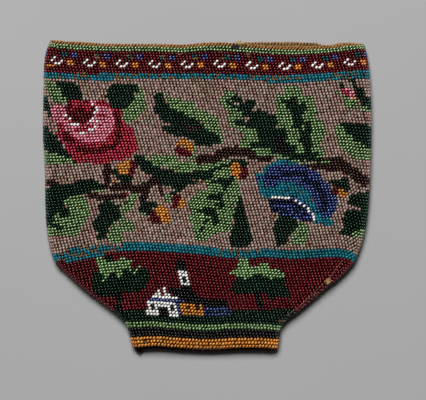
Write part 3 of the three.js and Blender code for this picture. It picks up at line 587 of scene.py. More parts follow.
def section(side, y, depth):
    """The section through y: where its flat part ends, the fold's half width and half depth, and slopes."""
    reach = edge(side, y)
    growth = (edge(side, y + SLOPE_STEP) - edge(side, y - SLOPE_STEP)) / (2 * SLOPE_STEP)
    stretch = np.sqrt(1 + growth**2)
    flat_end = reach - FOLD_RADIUS * stretch
    fold = (FOLD_RADIUS - depth) * stretch
    short = np.maximum(FOLD_RADIUS - (y - FOOT), 0)
    rounding = np.sqrt(np.maximum((FOLD_RADIUS - depth) ** 2 - short**2, LEAST_DEPTH_SQUARED))
    return flat_end, fold, FOLD_FLAT / 2 + rounding, growth, short / rounding


def quarter(fold, half_depth):
    """Way along the surface of one quarter of a fold."""
    return math.pi / 2 * np.sqrt((fold**2 + half_depth**2) / 2)


def half_girth(side, y, depth):
    """Way along the surface from x = 0 to the side fold's middle."""
    flat_end, fold, half_depth, _, _ = section(side, y, depth)
    return flat_end + quarter(fold, half_depth)


def row_ends(y, depth):
    """Where a row at y starts and ends, as ways along the surface from x = 0."""
    level = np.array([y])
    return -half_girth(-1, level, depth)[0], half_girth(1, level, depth)[0]


def dents(x, y):
    """How far the front has sunk where nothing fills the pouch."""
    broad = np.sin(x / BROAD_WAVE[0] + BROAD_SHIFT[0]) * np.sin(y / BROAD_WAVE[1] + BROAD_SHIFT[1])
    fine = np.sin(x / FINE_WAVE[0] - y / FINE_WAVE[1])
    level_share, broad_share, fine_share = DENT_SHARES
    return DENT * (level_share + broad_share * broad + fine_share * fine)


def on_pouch(along, y, face, depth):
    """Points on the front (face 1) or back (face -1), with the normal and the direction along the row."""
    side = np.where(along < 0, -1.0, 1.0)
    flat_end, fold, half_depth, growth, closing = section(side, y, depth)
    turn = np.clip((np.abs(along) - flat_end) / quarter(fold, half_depth), 0, 1) * math.pi / 2
    sin, cos = np.sin(turn), np.cos(turn)
    x = side * (np.minimum(np.abs(along), flat_end) + fold * sin)
    z = MIDDLE + face * half_depth * cos
    z = z - np.where(face > 0, dents(x, y) * cos, 0)
    point = np.stack([x, y, z], 1)
    upward = -sin / fold * growth - cos**2 * closing / half_depth
    normal = np.stack([side * sin / fold, upward, face * cos / half_depth], 1)
    row = np.stack([face * fold * cos, np.zeros_like(x), -side * half_depth * sin], 1)
    return point, unit(normal), unit(row)


def unit(vectors):
    return vectors / np.linalg.norm(vectors, axis=1, keepdims=True)


def between_levels(x, y, lines):
    """Reads curves that belong to levels of y, and blends from one level to the next."""
    levels = np.array(list(lines))
    values = np.array([through(knots, x) for knots in lines.values()])
    k = np.clip(np.searchsorted(levels, y) - 1, 0, len(levels) - 2)
    share = np.clip((y - levels[k]) / (levels[k + 1] - levels[k]), 0, 1)
    here = np.arange(len(x))
    return values[k, here] * (1 - share) + values[k + 1, here] * share


def lift(x, y, face):
    """How far a row that would lie level at y has moved towards the mouth at x."""
    front = between_levels(x, y, WAVES)
    left = between_levels(-edge(-1, y), y, WAVES)
    right = between_levels(edge(1, y), y, WAVES)
    share = np.clip((x + edge(-1, y)) / (edge(1, y) + edge(-1, y)), 0, 1)
    back = left * (1 - share) + right * share
    rim = np.clip((y - UPPER_LEVEL) / (RIM_LEVEL - UPPER_LEVEL), 0, 1)
    back = back * (1 - rim) + through(BACK_RIM, x) * rim
    return np.where(face > 0, front, back)


def lifted(along, y, face, depth):
    """Where the places of a level row at y lie in y."""
    x = on_pouch(along, y, face, depth)[0][:, 0]
    return y + lift(x, y, face)


# Beads: where they sit and what colour they are

def row_level(row):
    """The y at which a row would lie level; the rows at the foot are of larger beads."""
    middle = row + 0.5
    return FOOT + BARE_FOOT + min(middle, FOOT_ROWS) * FOOT_PITCH + max(middle - FOOT_ROWS, 0) * ROW_PITCH


def rows_of_beads(face):
    """Every bead of one face: way along its row, level y, column and row number."""
    found = []
    for row in range(ROWS):
        y = row_level(row)
        start = COLUMN_START - face * COLUMN_LEAN * (row - BORDER_ROW)
        low, high = row_ends(y, BEAD_CENTRE)
        first = math.ceil((low - start) / COLUMN_PITCH)
        last = math.floor((high - start) / COLUMN_PITCH)
        column = np.arange(first, last + 1)
        along = start + column * COLUMN_PITCH
        found.append(np.stack([along, np.full(len(along), y), column, np.full(len(along), row)], 1))
    return found


def close_folds(front, back):
    """Spreads the back's outermost beads so that each row runs on evenly round both folds."""
    near = np.arange(FOLD_BEADS)
    share = 1 - (near + 1) / (FOLD_BEADS + 1)
    for k, (row, other) in enumerate(zip(front, back)):
        for side, last in ((-1, 0), (1, -1)):
            girth = half_girth(side, row[:1, 1], BEAD_CENTRE)[0]
            end = girth - side * row[last, 0]
            gap = girth - side * other[last, 0] + end
            if gap < COLUMN_PITCH / 2:
                other = other[1:] if side < 0 else other[:-1]
                gap = girth - side * other[last, 0] + end
            where = near if side < 0 else len(other) - 1 - near
            other[where, 0] -= side * share * (COLUMN_PITCH - gap)
        back[k] = other
    return back


def inside(points, outline):
    x, y = points.T
    hit = np.zeros(len(points), bool)
    for (ax, ay), (bx, by) in zip(outline, outline[1:] + outline[:1]):
        if ay != by:
            crosses = (ay > y) != (by > y)
            hit ^= crosses & (x < ax + (bx - ax) * (y - ay) / (by - ay))
    return hit


def near_line(points, line, reach):
    hit = np.zeros(len(points), bool)
    for start, end in zip(np.array(line[:-1], float), np.array(line[1:], float)):
        way = end - start
        share = np.clip((points - start) @ way / (way @ way), 0, 1)
        hit |= np.linalg.norm(points - start - share[:, None] * way, axis=1) < reach
    return hit


def nearest(points, dots):
    return [np.argmin(np.linalg.norm(points - np.array(dot), axis=1)) for dot in dots]


def picture_colours(points, colour):
    """The colours with the pictures laid over them, one after the other."""
    colour = colour.copy()
    for kind, name, *shapes in PICTURES:
        for shape in shapes:
            if kind == AREA:
                hit = inside(points, shape)
            elif kind in LINE_WIDTH:
                hit = near_line(points, shape, LINE_WIDTH[kind] / 2)
            else:
                hit = nearest(points, shape)
            colour[hit] = name
    return colour


def bead_colours(points, column, row, face):
    """A colour name for each bead, and how much lighter than usual it is."""
    band = BAND_OF_ROW[row]
    plain = np.array(BAND_COLOURS, dtype=object)[band]
    colour = np.where(np.isin(band, PLAIN_BANDS), plain, picture_colours(points, plain))
    for name, which, low, high in CHANGED_ROWS:
        colour[(face > 0) & (row == which) & (points[:, 0] > low) & (points[:, 0] < high)] = name
    step = face * column % BORDER_REPEAT
    for name, places in BORDER_MOTIF.items():
        for across, up in places:
            colour[(step == across % BORDER_REPEAT) & (row == BORDER_ROW + up)] = name
    shade = np.where(colour == plain, np.array(BAND_SHADES)[band], 0)
    return colour, shaded(points, colour, shade, face)


def shaded(points, colour, shade, face):
    """The shades with the maroon darker low down and painted shade on it at the right fold, paler greens
    and, on the front, the stains.
    """
    x, y = points.T
    left = np.clip((DARKER_LEFT_FROM - x) / DARKER_LEFT_FADE, 0, 1)
    # Painted shade on the maroon near the right edge, where the fold turns away from the lamp
    right = np.clip((x - edge(1, y) + FOLD_SHADE_REACH) / FOLD_SHADE_FADE, 0, 1)
    dark = (colour == "maroon") & (y < MAROON_DARKER_BELOW)
    shade = np.where(dark, shade - MAROON_DARKENING * np.maximum(left, right), shade)
    for below, paler in PALE_GREENS:
        shade[(colour == "light_green") & (y < below)] = paler
    for spot_x, spot_y, reach, darker in STAINS:
        far = np.hypot(x - spot_x, y - spot_y) / reach
        shade = shade - darker * np.exp(-far**2) * (face > 0)
    return shade


def worn_away(points, band):
    """Beads lost in known spots, and here and there along the turquoise rows."""
    lost = np.zeros(len(points), bool)
    for x, y, reach in WORN:
        lost |= np.linalg.norm(points - np.array((x, y)), axis=1) < reach
    upper = np.where(band == UPPER_TURQUOISE, WEAR_UPPER, 0)
    lower = np.where(band == LOWER_TURQUOISE, through(WEAR_ALONG, points[:, 0]), 0)
    return lost | (RANDOM.random(len(points)) < upper + lower)


# Meshes

# The tip of a thread, times its radius, and what keeps a direction from being nought
TUBE_TIP = 0.3
TINY = 1e-9


def barrel(sides):
    """A unit bead along its first axis: points, and faces as rings of quads closed by triangles."""
    turn = np.arange(sides) * 2 * math.pi / sides
    points = [(-1, 0, 0)]
    for place, radius in BEAD_RINGS:
        points += [(place, radius * math.cos(a), radius * math.sin(a)) for a in turn]
    points.append((1, 0, 0))
    last = len(points) - 1
    top = last - sides
    faces = []
    for i in range(sides):
        j = (i + 1) % sides
        faces.append((0, 1 + j, 1 + i))
        for a in range(1, top, sides):
            b = a + sides
            faces.append((a + i, a + j, b + j, b + i))
        faces.append((top + i, top + j, last))
    return np.array(points), faces


def copies(name, shape, centre, axes, sizes, tone):
    """One mesh of many copies of a shape, each with its own axes, sizes and tone."""
    points, faces = shape
    local = points[None] * sizes[:, None, :]
    placed = centre[:, None, :] + np.einsum("bvk,bkc->bvc", local, axes)
    per = len(points)
    corners = np.concatenate([np.array(f) for f in faces])
    starts = np.cumsum([0] + [len(f) for f in faces])
    number = np.arange(len(centre))
    mesh = bpy.data.meshes.new(name)
    mesh.vertices.add(len(centre) * per)
    mesh.vertices.foreach_set("co", (placed * MM).ravel().astype(np.float32))
    vertex = (corners[None] + number[:, None] * per).ravel()
    mesh.loops.add(len(vertex))
    mesh.loops.foreach_set("vertex_index", vertex.astype(np.int32))
    mesh.polygons.add(len(centre) * len(faces))
    begins = (starts[:-1][None] + number[:, None] * len(corners)).ravel()
    mesh.polygons.foreach_set("loop_start", begins.astype(np.int32))
    mesh.update(calc_edges=True)
    mesh.shade_smooth()
    tones = mesh.attributes.new("tone", "FLOAT", "POINT")
    tones.data.foreach_set("value", np.repeat(tone, per).astype(np.float32))
    map_cells(mesh, points, number, vertex)
    return piece(name, mesh)


def map_cells(mesh, points, number, vertex):
    """Gives each of the numbered copies a cell of its own in the baking map."""
    cells = math.ceil(math.sqrt(len(number)))
    cell = np.stack([number % cells, number // cells], 1)
    spot = cell[:, None, :] + 0.5 + CELL_REACH * points[None, :, :2]
    uv = mesh.uv_layers.new(name="OFBake")
    uv.uv.foreach_set("vector", (spot / cells).reshape(-1, 2)[vertex].ravel().astype(np.float32))


def grid_mesh(name, sheets):
    """A mesh from sheets of points, each (rows, columns, 3)."""
    vertices, faces = [], []
    for sheet in sheets:
        rows, columns, _ = sheet.shape
        base = sum(len(v) for v in vertices)
        vertices.append(sheet.reshape(-1, 3))
        i, j = np.meshgrid(np.arange(rows - 1), np.arange(columns - 1), indexing="ij")
        a = base + (i * columns + j).ravel()
        faces.append(np.stack([a, a + 1, a + columns + 1, a + columns], 1))
    mesh = bpy.data.meshes.new(name)
    mesh.from_pydata(np.concatenate(vertices) * MM, [], np.concatenate(faces).tolist())
    mesh.shade_smooth()
    return piece(name, mesh)


def tube(name, lines, radius, sides):
    """Round threads along lines of points, thinner at their tips."""
    sheets = []
    turn = np.linspace(0, 2 * math.pi, sides + 1)
    for line in lines:
        line = np.array(line, float)
        way = unit(np.gradient(line, axis=0))
        across = unit(np.cross(way, np.array([0.0, 0.0, 1.0])) + TINY)
        over = np.cross(across, way)
        step = np.arange(len(line))
        thick = radius * np.minimum(1, TUBE_TIP + np.minimum(step, step[::-1]))
        ring = np.cos(turn)[None, :, None] * across[:, None] + np.sin(turn)[None, :, None] * over[:, None]
        sheets.append(line[:, None] + thick[:, None, None] * ring)
    return grid_mesh(name, sheets)


def new_object(name, data):
    made = bpy.data.objects.new(name, data)
    bpy.context.collection.objects.link(made)
    return made


def piece(name, mesh):
    made = new_object(name, mesh)
    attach(made, "root")
    return made


# Materials

# Colours as linear red, green and blue; a glass also has its lustre, and how far its beads differ in hue
# Painted shade: the near-black thread of the wall between the beads stands for the shade in the gaps, and
# the dark brown thread of the lining stands for the shade inside the pouch
THREAD = {
    "tan": (0.4, 0.19, 0.07), "shaded": (0.06, 0.03, 0.012), "gap_shade": (0.0016, 0.001, 0.0007),
    "grey": (0.024, 0.025, 0.031), "tan_pink_reflection": (0.36, 0.16, 0.12), "straw": (0.5, 0.34, 0.14),
    "bare": (0.31, 0.185, 0.1), "olive": (0.16, 0.15, 0.05), "foot_shade_red": (0.024, 0.007, 0.005),
}
GLASS = {
    "light_green": ((0.083, 0.175, 0.04), 1.75, 0.012), "dark_green": ((0.0012, 0.01, 0.0036), 0.36, 0.02),
    "maroon": ((0.112, 0.002, 0.004), 0.64, 0.01), "crimson": ((0.41, 0.007, 0.022), 1.18, 0.01),
    "pink": ((0.7, 0.145, 0.215), 2, 0.01), "turquoise": ((0.003, 0.112, 0.15), 0.42, 0.012),
    "teal": ((0.003, 0.06, 0.07), 0.4, 0.012), "mauve": ((0.29, 0.186, 0.143), 0.68, 0.032),
    "brown": ((0.026, 0.008, 0.006), 0.43, 0.01), "blue": ((0.0125, 0.025, 0.132), 1.15, 0.01),
    "navy": ((0.004, 0.006, 0.03), 0.5, 0.01), "gold": ((0.6, 0.18, 0.006), 1.5, 0.01),
    "black": ((0.001, 0.001, 0.001), 0.38, 0.01), "white": ((0.98, 0.97, 0.94), 1.3, 0.005),
}
# Glass that shares another's slot in the record
SAME_SLOT = {"teal": "turquoise"}
# Where Blender's hue and specular level are neutral
NEUTRAL = 0.5

# Where the deep, plain and pale colours stand among the tones, and the deep and pale ones against the plain
TONES = (0.2, 0.65, 1)
DEEP_TINT = (0.6, 0.5, 0.38)
PALE_TINT = (1.45, 1.5, 1.7)
# Streaks in a bead: their scale, and how much of the tone they add
STREAK_SCALE = 900
STREAK = 0.3
# Makes unlike chances out of close tones, and how much more than the hue the saturation differs
SCATTER = 37.3
SATURATION_VARIETY = 6
GLASS_IOR = 2.4
# How much of the glass's colour its highlights take on
TINT_POWER = 0.22
# Roughness of the darkest glass, how much duller pale glass is, from which colour on, and how uneven it is
SMOOTHEST = 0.17
DULLER = 0.14
PALE_GLASS = 0.16
UNEVEN = 0.13
POLISH_SCALE = 260

# Thread: scale of its twist, tones as (place, times the colour), relief's strength and depth, and polish
TWIST_SCALE = 700
TWIST_TONES = [(0.3, 0.55), (0.55, 1), (0.8, 1.35)]
TWIST_RELIEF = 0.6
TWIST_DEPTH = 0.0002
THREAD_ROUGHNESS = 0.85
THREAD_SPECULAR = 0.05


def new_material(name):
    """A material, its node tree and its shader."""
    material = bpy.data.materials.new(name)
    material.use_nodes = True
    return material, material.node_tree, material.node_tree.nodes["Principled BSDF"]


def put(tree, node, values):
    """Sets inputs of a node to values, or links them to the outputs of others."""
    for name, value in values.items():
        if isinstance(value, bpy.types.NodeSocket):
            tree.links.new(value, node.inputs[name])
        else:
            node.inputs[name].default_value = value


def add(tree, kind, values):
    node = tree.nodes.new(f"ShaderNode{kind}")
    put(tree, node, values)
    return node


def ramp(tree, source, stops):
    node = add(tree, "ValToRGB", {"Fac": source})
    elements = node.color_ramp.elements
    while len(elements) < len(stops):
        elements.new(0.5)
    for element, (place, colour) in zip(elements, stops):
        element.position = place
        element.color = (*colour, 1)
    return node.outputs["Color"]


def noise(tree, scale, detail=2):
    place = add(tree, "TexCoord", {}).outputs["Object"]
    return add(tree, "TexNoise", {"Vector": place, "Scale": scale, "Detail": detail}).outputs["Fac"]


def math_node(tree, operation, first, second=0):
    node = add(tree, "Math", {0: first, 1: second})
    node.operation = operation
    return node.outputs[0]


def map_range(tree, source, low, high):
    return add(tree, "MapRange", {"Value": source, "To Min": low, "To Max": high}).outputs["Result"]


def glass(colour):
    """Opaque glass: each bead has its own tone, with faint streaks and uneven polish."""
    material, tree, shader = new_material(f"{colour}_glass")
    base, lustre, variety = GLASS[colour]
    base = np.array(base)
    attribute = add(tree, "Attribute", {})
    attribute.attribute_name = "tone"
    tone = attribute.outputs["Fac"]
    streak = math_node(tree, "ADD", map_range(tree, noise(tree, STREAK_SCALE), 0, STREAK), tone)
    stops = list(zip(TONES, (base * DEEP_TINT, base, np.minimum(base * PALE_TINT, 1))))
    chance = math_node(tree, "FRACT", math_node(tree, "MULTIPLY", tone, SCATTER))
    fuller = SATURATION_VARIETY * variety
    tint = add(tree, "HueSaturation", {
        "Hue": map_range(tree, chance, NEUTRAL - variety, NEUTRAL + variety),
        "Saturation": map_range(tree, chance, 1 + fuller, 1 - fuller),
        "Color": ramp(tree, streak, stops),
    })
    smoothest = SMOOTHEST + DULLER * min(1, base.mean() / PALE_GLASS)
    put(tree, shader, {
        "Base Color": tint.outputs["Color"],
        "Roughness": map_range(tree, noise(tree, POLISH_SCALE), smoothest, smoothest + UNEVEN),
        "IOR": GLASS_IOR,
        "Specular IOR Level": NEUTRAL * lustre,
        "Specular Tint": (*(base / base.max()) ** TINT_POWER, 1),
    })
    return material


def thread(colour):
    """Matt spun thread, darker and lighter in patches, with a fine twist in its relief."""
    material, tree, shader = new_material(f"{colour}_thread")
    base = np.array(THREAD[colour])
    stops = [(place, np.minimum(base * times, 1)) for place, times in TWIST_TONES]
    height = noise(tree, 3 * TWIST_SCALE, 3)
    bump = add(tree, "Bump", {"Strength": TWIST_RELIEF, "Distance": TWIST_DEPTH, "Height": height})
    put(tree, shader, {
        "Base Color": ramp(tree, noise(tree, TWIST_SCALE, 4), stops),
        "Normal": bump.outputs["Normal"],
        "Roughness": THREAD_ROUGHNESS,
        "Specular IOR Level": THREAD_SPECULAR,
    })
    return material


def finish_piece(made, material, stands_for=()):
    made.data.materials.clear()
    made.data.materials.append(material)
    if stands_for:
        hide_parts(*stands_for)
    return made


def nodes_of(slot):
    return [part["node"] for part in frame["record"]["subparts"] if part["material_slot"] == slot]


# The beads

def slanted(normal, row, degrees):
    """Axes of beads whose hole is turned up from the row by so many degrees."""
    row = unit(row - np.sum(row * normal, 1, keepdims=True) * normal)
    up = np.cross(normal, row)
    angle = np.radians(degrees)[:, None]
    along = np.cos(angle) * row + np.sin(angle) * up
    return np.stack([along, np.cross(normal, along), normal], 1)


def jitter(count, spread):
    return RANDOM.normal(0, spread, count)


def place_face(face, rows):
    """The beads of one face as a table, and the points, normals and ways of the stitches left bare."""
    along, level, column, row = np.concatenate(rows).T
    column, row = column.astype(int), row.astype(int)
    band = BAND_OF_ROW[row]
    count = len(along)
    y = lifted(along, level, face, BEAD_CENTRE)
    depth = BEAD_CENTRE + np.abs(jitter(count, SINK))
    along = along + jitter(count, STRAY)
    point, normal, way = on_pouch(along, y + jitter(count, STRAY), face, depth)
    colour, shade = bead_colours(point[:, :2], column, row, face)
    slant = np.array([BEAD_FORMS.get(name, UPRIGHT)[3] for name in colour])
    slant = np.where(band < FOOT_BANDS, slant + FOOT_SLANT, slant)
    axes = slanted(normal, way, slant + jitter(count, SLANT_JITTER))
    lost = worn_away(point[:, :2], band) if face > 0 else np.zeros(count, bool)
    tone = np.clip(MEAN_TONE + shade + jitter(count, TONE_JITTER), 0, 1)
    grow = np.where(row < FOOT_ROWS, FOOT_BEAD, 1)
    table = {
        "face": np.full(count, face), "centre": point, "axes": axes,
        "colour": colour, "tone": tone, "grow": grow,
    }
    bare = (point[lost], normal[lost], way[lost])
    return {key: values[~lost] for key, values in table.items()}, bare


def place_beads():
    """Beads of both faces as one table, and the stitches of the front that are left bare."""
    front = rows_of_beads(1)
    back = close_folds(front, rows_of_beads(-1))
    upper, bare = place_face(1, front)
    lower, _ = place_face(-1, back)
    return {key: np.concatenate([upper[key], lower[key]]) for key in upper}, bare


def make_beads():
    """A piece of beads for each colour and face. Returns the stitches left bare."""
    beads, bare = place_beads()
    for colour in sorted(set(beads["colour"])):
        slot = f"{SAME_SLOT.get(colour, colour)}_glass"
        material = glass(colour)
        for face, where, sides in FACES:
            pick = (beads["colour"] == colour) & (beads["face"] == face)
            if not pick.any():
                continue
            grow = beads["grow"][pick] + jitter(pick.sum(), SIZE_JITTER)
            size = np.array(BEAD_FORMS.get(colour, UPRIGHT)[:3]) * grow[:, None]
            centre, axes, tone = (beads[key][pick] for key in ("centre", "axes", "tone"))
            made = copies(f"{colour}_beads_{where}", barrel(sides), centre, axes, size, tone)
            finish_piece(made, material, nodes_of(slot))
    return bare


# The knitting

def knit_sheet(face, depth, heights):
    """One face of the knitted ground as a sheet of points from the foot to the mouth."""
    rows = []
    for height in heights:
        y = np.full(SHEET_COLUMNS, FOOT + height)
        along = np.linspace(*row_ends(y[0], depth), SHEET_COLUMNS)
        rows.append(on_pouch(along, lifted(along, y, face, depth), face, depth)[0])
    return np.array(rows)


def make_ground(wall, lining):
    """The pocket: the wall that carries the beads, and its inside up to the mouth edge."""
    top = MOUTH - FOOT
    inner_face = KNIT_FACE + KNIT_WALL
    even = np.linspace(KNIT_FACE + EVEN_FROM, top, WALL_ROWS)
    outer = np.concatenate([KNIT_FACE + np.array(FIRST_HEIGHTS), even])
    inner = np.linspace(inner_face + EVEN_FROM, top, INSIDE_SHEET_ROWS)
    outsides, insides = [], []
    for face in (1, -1):
        outside = knit_sheet(face, KNIT_FACE, outer)
        inside_face = knit_sheet(face, inner_face, inner)
        edge_strip = np.stack([outside[-1], inside_face[-1]])
        outsides.append(outside[:, ::face])
        insides += [inside_face[:, ::-face], edge_strip[:, ::face]]
    finish_piece(grid_mesh("knitted_wall", outsides), wall, ["knitted_body"])
    finish_piece(grid_mesh("knitted_inside", insides), lining, ["knitted_body"])


def loops(name, rows, loop, material, spread=LOOP_SPREAD):
    """Thread loops in rows, given as points, normals and ways along the row."""
    point, normal, way = (np.concatenate(part) for part in zip(*rows))
    count = len(point)
    length, breadth, slant = loop
    axes = slanted(normal, way, slant + jitter(count, spread))
    size = np.array((length, breadth, breadth)) * (1 + jitter(count, LOOP_SIZE_JITTER))[:, None]
    tone = np.clip(MEAN_TONE + jitter(count, LOOP_TONE_JITTER), 0, 1)
    made = copies(name, barrel(LOOP_SIDES), point, axes, size, tone)
    return finish_piece(made, material)


def make_bare_stitches(bare, material):
    """The two legs of each stitch that has lost its bead."""
    point, normal, way = bare
    length, breadth, lean = BARE_LEG
    for name, side in (("left", -1), ("right", 1)):
        spot = point + BARE_RISE * normal + side * BARE_SPREAD * way
        leg = (length, breadth, 90 + side * (lean - 90))
        loops(f"bare_legs_{name}", [(spot, normal, way)], leg, material, BARE_LEG_SPREAD)


def loop_row(face, height, depth, inward=False):
    """Points along one round of loops on one face."""
    level = FOOT + height
    along = np.arange(*row_ends(level, depth), COLUMN_PITCH)
    along = along + jitter(len(along), LOOP_STRAY)
    y = np.full(len(along), level)
    y = lifted(along, y, face, depth) + jitter(len(along), LOOP_STRAY)
    point, normal, way = on_pouch(along, y, face, depth)
    return (point, -normal, way) if inward else (point, normal, way)


def make_rim(tan, olive):
    """Bare rounds above the last beads, and the first rounds inside the mouth."""
    top = MOUTH - FOOT
    outside, inside_rows = [], []
    for face in (1, -1):
        for k, proud in enumerate(RIM_PROUD):
            outside.append(loop_row(face, top - BARE_RIM + RIM_START + k * RIM_ROW, KNIT_FACE - proud))
        for k in range(INSIDE_ROWS):
            height = top - INSIDE_START - k * RIM_ROW
            row = loop_row(face, height, KNIT_FACE + KNIT_WALL + INSIDE_PROUD, inward=True)
            (inside_rows if k % 2 else outside).append(row)
    loops("mouth_loops", outside, RIM_LOOP, tan)
    loops("inside_loops", inside_rows, RIM_LOOP, olive)


def alike(vector, count):
    return np.tile(np.array(vector, float), (count, 1))


def across_foot(pitch, rise, proud):
    """Points along the foot's end, at a height and so far forward of its middle."""
    low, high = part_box("foot_seam_thread")
    x = np.arange(low.x / MM - FOOT_OVERHANG, high.x / MM + FOOT_OVERHANG, pitch)
    x = x + jitter(len(x), FOOT_STRAY)
    level = np.full(len(x), FOOT + BARE_FOOT)
    y = FOOT + rise + lift(x, level, 1)
    return np.stack([x, y, np.full(len(x), MIDDLE + proud)], 1)


def foot_loops(name, point, normal, loop, material, spread=LOOP_SPREAD):
    """Loops at the foot, all with the same normal and along the foot."""
    count = len(point)
    row = (point, unit(alike(normal, count)), alike((1, 0, 0), count))
    return loops(name, [row], loop, material, spread)


def make_foot_seam(threads):
    """The foot's end: rounds drawn together, a selvedge, and the sewing thread along and over it. The
    rounds, the selvedge and the gathered corner are in near-black red thread: painted shade under the
    foot's end.
    """
    dark = threads["foot_shade_red"]
    rounds = [loop_row(face, height, FOOT_DEPTH) for face in (1, -1) for height in FOOT_ROUNDS]
    loops("foot_rounds", rounds, RIM_LOOP, dark)
    for name, loop, pitch, rise, proud, normal, colour in FOOT_LOOPS:
        made = foot_loops(name, across_foot(pitch, rise, proud), normal, loop, threads[colour])
        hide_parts("foot_seam_thread")
    foot_loops("foot_corner", np.array(FOOT_CORNER, float), FORWARD, CORNER_LOOP, dark, CORNER_SPREAD)


# The mending thread: the arc of a turn and its points, the turns' shift from the middle of the CAD's knot
# in y and z, how high they arch, and the thread's radius and sides
KNOT_ARC = (-0.3, math.pi * 1.15)
KNOT_POINTS = 18
KNOT_SHIFT = (-0.3, -0.5)
KNOT_ARCH = 0.9
KNOT_RADIUS = 0.4
KNOT_SIDES = 8
# Its turns: place along the edge, lean, reach over the edge
KNOT_TURNS = [
    (-1.7, 0.5, 1.1), (-0.8, -0.3, 1.5), (0, 0.7, 1.2), (0.9, -0.5, 1.5), (1.6, 0.3, 0.9), (0, -1.6, 0.4),
]


def make_knot(material):
    """A mending thread wound over the mouth edge and knotted."""
    low, high = (np.array(corner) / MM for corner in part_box("mouth_knot"))
    centre = (low + high) / 2
    turns = []
    way = np.linspace(*KNOT_ARC, KNOT_POINTS)
    for across, lean, reach in KNOT_TURNS:
        x = centre[0] + across + lean * np.cos(way)
        y = centre[1] + KNOT_SHIFT[0] + reach * np.cos(way)
        z = centre[2] + KNOT_SHIFT[1] + KNOT_ARCH * np.sin(way)
        turns.append(np.stack([x, y, z], 1))
    made = tube("mending_knot", turns, KNOT_RADIUS, KNOT_SIDES)
    return finish_piece(made, material, ["mouth_knot"])


# How deep below the outline things on the front lie, and the steps to find their ways along the surface
FRONT_DEPTH = 0.1
PLACING_STEPS = 6


def on_front(points, proud):
    """Points laid on the front, a little proud of the beads."""
    x, y = np.array(points, float).T
    along = x
    for _ in range(PLACING_STEPS):
        along = along + (x - on_pouch(along, y, 1, FRONT_DEPTH)[0][:, 0])
    point, normal, _ = on_pouch(along, y, 1, FRONT_DEPTH)
    return point + proud * normal


def smooth_line(points, count):
    """So many points along a smooth curve through the given ones."""
    place = np.linspace(0, 1, len(points))
    fine = np.linspace(0, 1, count)
    return np.stack([through(list(zip(place, values)), fine) for values in np.array(points, float).T], 1)


# Threads on the front: radii, sides, points along them, and how far they stand proud of the beads
FINE_THREAD = 0.13
DARK_THREAD = 0.2
FINE_SIDES = 6
SEAM_POINTS = 160
END_POINTS = 14
SEAM_PROUD = 0.22
LOOSE_PROUD = 0.3
DARK_PROUD = 0.2
# Points in a stitch of the seam, and to the next one
STITCH = 7
STITCH_GAP = 1
# One fibre of a tuft: its length against the tuft's reach, its bend, points and rise
FIBRE_LENGTH = (0.4, 1)
FIBRE_BEND = 0.6
FIBRE_POINTS = 8
FIBRE_RISE = (0.1, 0.7)
# Courses of the threads as points (x, y), and the tufts: x, y, reach, how many
SIDE_SEAM = [
    (71.4, -33.4), (69, -36.4), (66.4, -40), (63, -43.8), (60, -46.8), (57, -49.6), (53.6, -52.6),
    (50, -56.2), (46.5, -59), (41.4, -62.8),
]
LOOSE_ENDS = [
    [(56.6, -50.2), (57.8, -51.4), (58.4, -52.6), (57.8, -53.6)],
    [(57.2, -50.6), (56, -51.6), (56.2, -52.6)], [(38, -64.4), (39, -65.4), (40, -64.6)],
]
DARK_END = [(-78.6, -34.2), (-78.9, -36.4), (-78.4, -38.2)]
TUFTS = {
    "straw": [(63.7, -44.4, 1.5, 24), (15.4, 80.8, 0.9, 8), (17.2, 80.8, 1, 12), (19, 80.6, 0.8, 7)],
    "olive": [(19.4, 80, 0.8, 9)],
}


def fibres(x, y, reach, count):
    """Short bent fibres round one spot."""
    lines = []
    for _ in range(count):
        turn = RANDOM.uniform(0, 2 * math.pi)
        start = np.array((x, y)) + RANDOM.normal(0, reach / 3, 2)
        out = np.array((math.cos(turn), math.sin(turn))) * RANDOM.uniform(*FIBRE_LENGTH) * reach
        bend = np.array((-out[1], out[0])) * RANDOM.uniform(-FIBRE_BEND, FIBRE_BEND)
        line = smooth_line([start - out, start + bend, start + out], FIBRE_POINTS)
        lines.append(on_front(line, RANDOM.uniform(*FIBRE_RISE)))
    return lines


def make_loose_threads(threads):
    """The seam stitches along the lower right edge, loose ends, and tufts of lint."""
    seam = on_front(smooth_line(SIDE_SEAM, SEAM_POINTS), SEAM_PROUD)
    starts = range(0, len(seam) - STITCH, STITCH + STITCH_GAP)
    ends = [on_front(smooth_line(points, END_POINTS), LOOSE_PROUD) for points in LOOSE_ENDS]
    dark_end = on_front(smooth_line(DARK_END, END_POINTS), DARK_PROUD)
    # The pinkish tan thread of the seam and loose ends is their own tan with a pink tint painted in as
    # reflected light from the maroon beads
    laid = [
        ("side_seam", [seam[k:k + STITCH] for k in starts], FINE_THREAD, "tan_pink_reflection"),
        ("loose_ends", ends, FINE_THREAD, "tan_pink_reflection"),
        ("dark_end", [dark_end], DARK_THREAD, "shaded"),
    ]
    for colour, spots in TUFTS.items():
        lines = [line for spot in spots for line in fibres(*spot)]
        laid.append((f"{colour}_tufts", lines, FINE_THREAD, colour))
    for name, lines, radius, colour in laid:
        finish_piece(tube(name, lines, radius, FINE_SIDES), threads[colour])


# Floor, light and camera

# The floor's half size, grey, grain, tones as (place, times the grey), and polish
FLOOR = 3000
FLOOR_GREY = 0.4
FLOOR_GRAIN = 6
FLOOR_TONES = [(0.3, 0.985), (0.7, 1.015)]
FLOOR_ROUGHNESS = 0.9
FLOOR_SPECULAR = 0.1
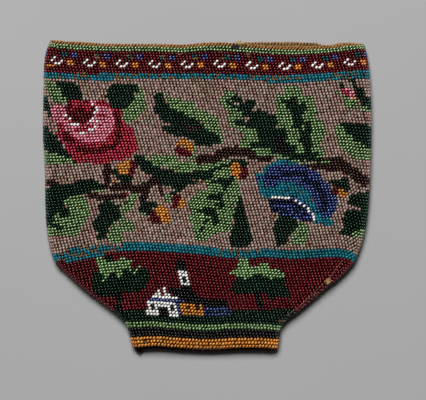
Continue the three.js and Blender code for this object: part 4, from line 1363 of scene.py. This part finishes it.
# Strength of the light from all round; place, size and power of the lamp
WORLD_STRENGTH = 0.035
KEY_PLACE = (-240, 1140, 1950)
KEY_SIZE = 930
KEY_POWER = 62
# How far the camera sees, in metres
CLIP_END = 10


def make_stage():
    size = FLOOR * MM
    mesh = bpy.data.meshes.new("floor")
    corners = [(-size, -size, 0), (size, -size, 0), (size, size, 0), (-size, size, 0)]
    mesh.from_pydata(corners, [], [(0, 1, 2, 3)])
    floor = new_object("floor", mesh)
    material, tree, shader = new_material("pale_floor")
    grey = np.array((FLOOR_GREY,) * 3)
    stops = [(place, grey * times) for place, times in FLOOR_TONES]
    put(tree, shader, {
        "Base Color": ramp(tree, noise(tree, FLOOR_GRAIN), stops),
        "Roughness": FLOOR_ROUGHNESS,
        "Specular IOR Level": FLOOR_SPECULAR,
    })
    mesh.materials.append(material)


def make_light():
    world = bpy.data.worlds.new("studio")
    bpy.context.scene.world = world
    world.use_nodes = True
    tree = world.node_tree
    put(tree, tree.nodes["Background"], {"Color": (1, 1, 1, 1), "Strength": WORLD_STRENGTH})
    lamp = bpy.data.lights.new("key", "AREA")
    lamp.size = KEY_SIZE * MM
    lamp.energy = KEY_POWER
    made = new_object("key", lamp)
    made.location = np.array(KEY_PLACE) * MM
    made.rotation_euler = (-made.location).to_track_quat("-Z", "Y").to_euler()


def make_camera():
    data = bpy.data.cameras.new("camera")
    camera = new_object("camera", data)
    camera.location = np.array((*PHOTO_CENTRE, HALF_DEPTH * 2 + CAMERA_HEIGHT)) * MM
    data.sensor_width = SENSOR
    data.lens = SENSOR * CAMERA_HEIGHT / (PHOTO_WIDTH * PHOTO_SCALE)
    data.clip_end = CLIP_END
    bpy.context.scene.camera = camera


make_camera()
make_stage()
make_light()
THREADS = {colour: thread(colour) for colour in THREAD}
bare = make_beads()
# The wall's near-black thread is painted shade of the gaps between the beads; the lining's thread is
# painted shade of the inside
make_ground(THREADS["gap_shade"], THREADS["shaded"])
make_rim(THREADS["tan"], THREADS["olive"])
make_bare_stitches(bare, THREADS["bare"])
make_foot_seam(THREADS)
make_knot(THREADS["grey"])
make_loose_threads(THREADS)

bpy.context.scene.view_settings.view_transform = "Standard"
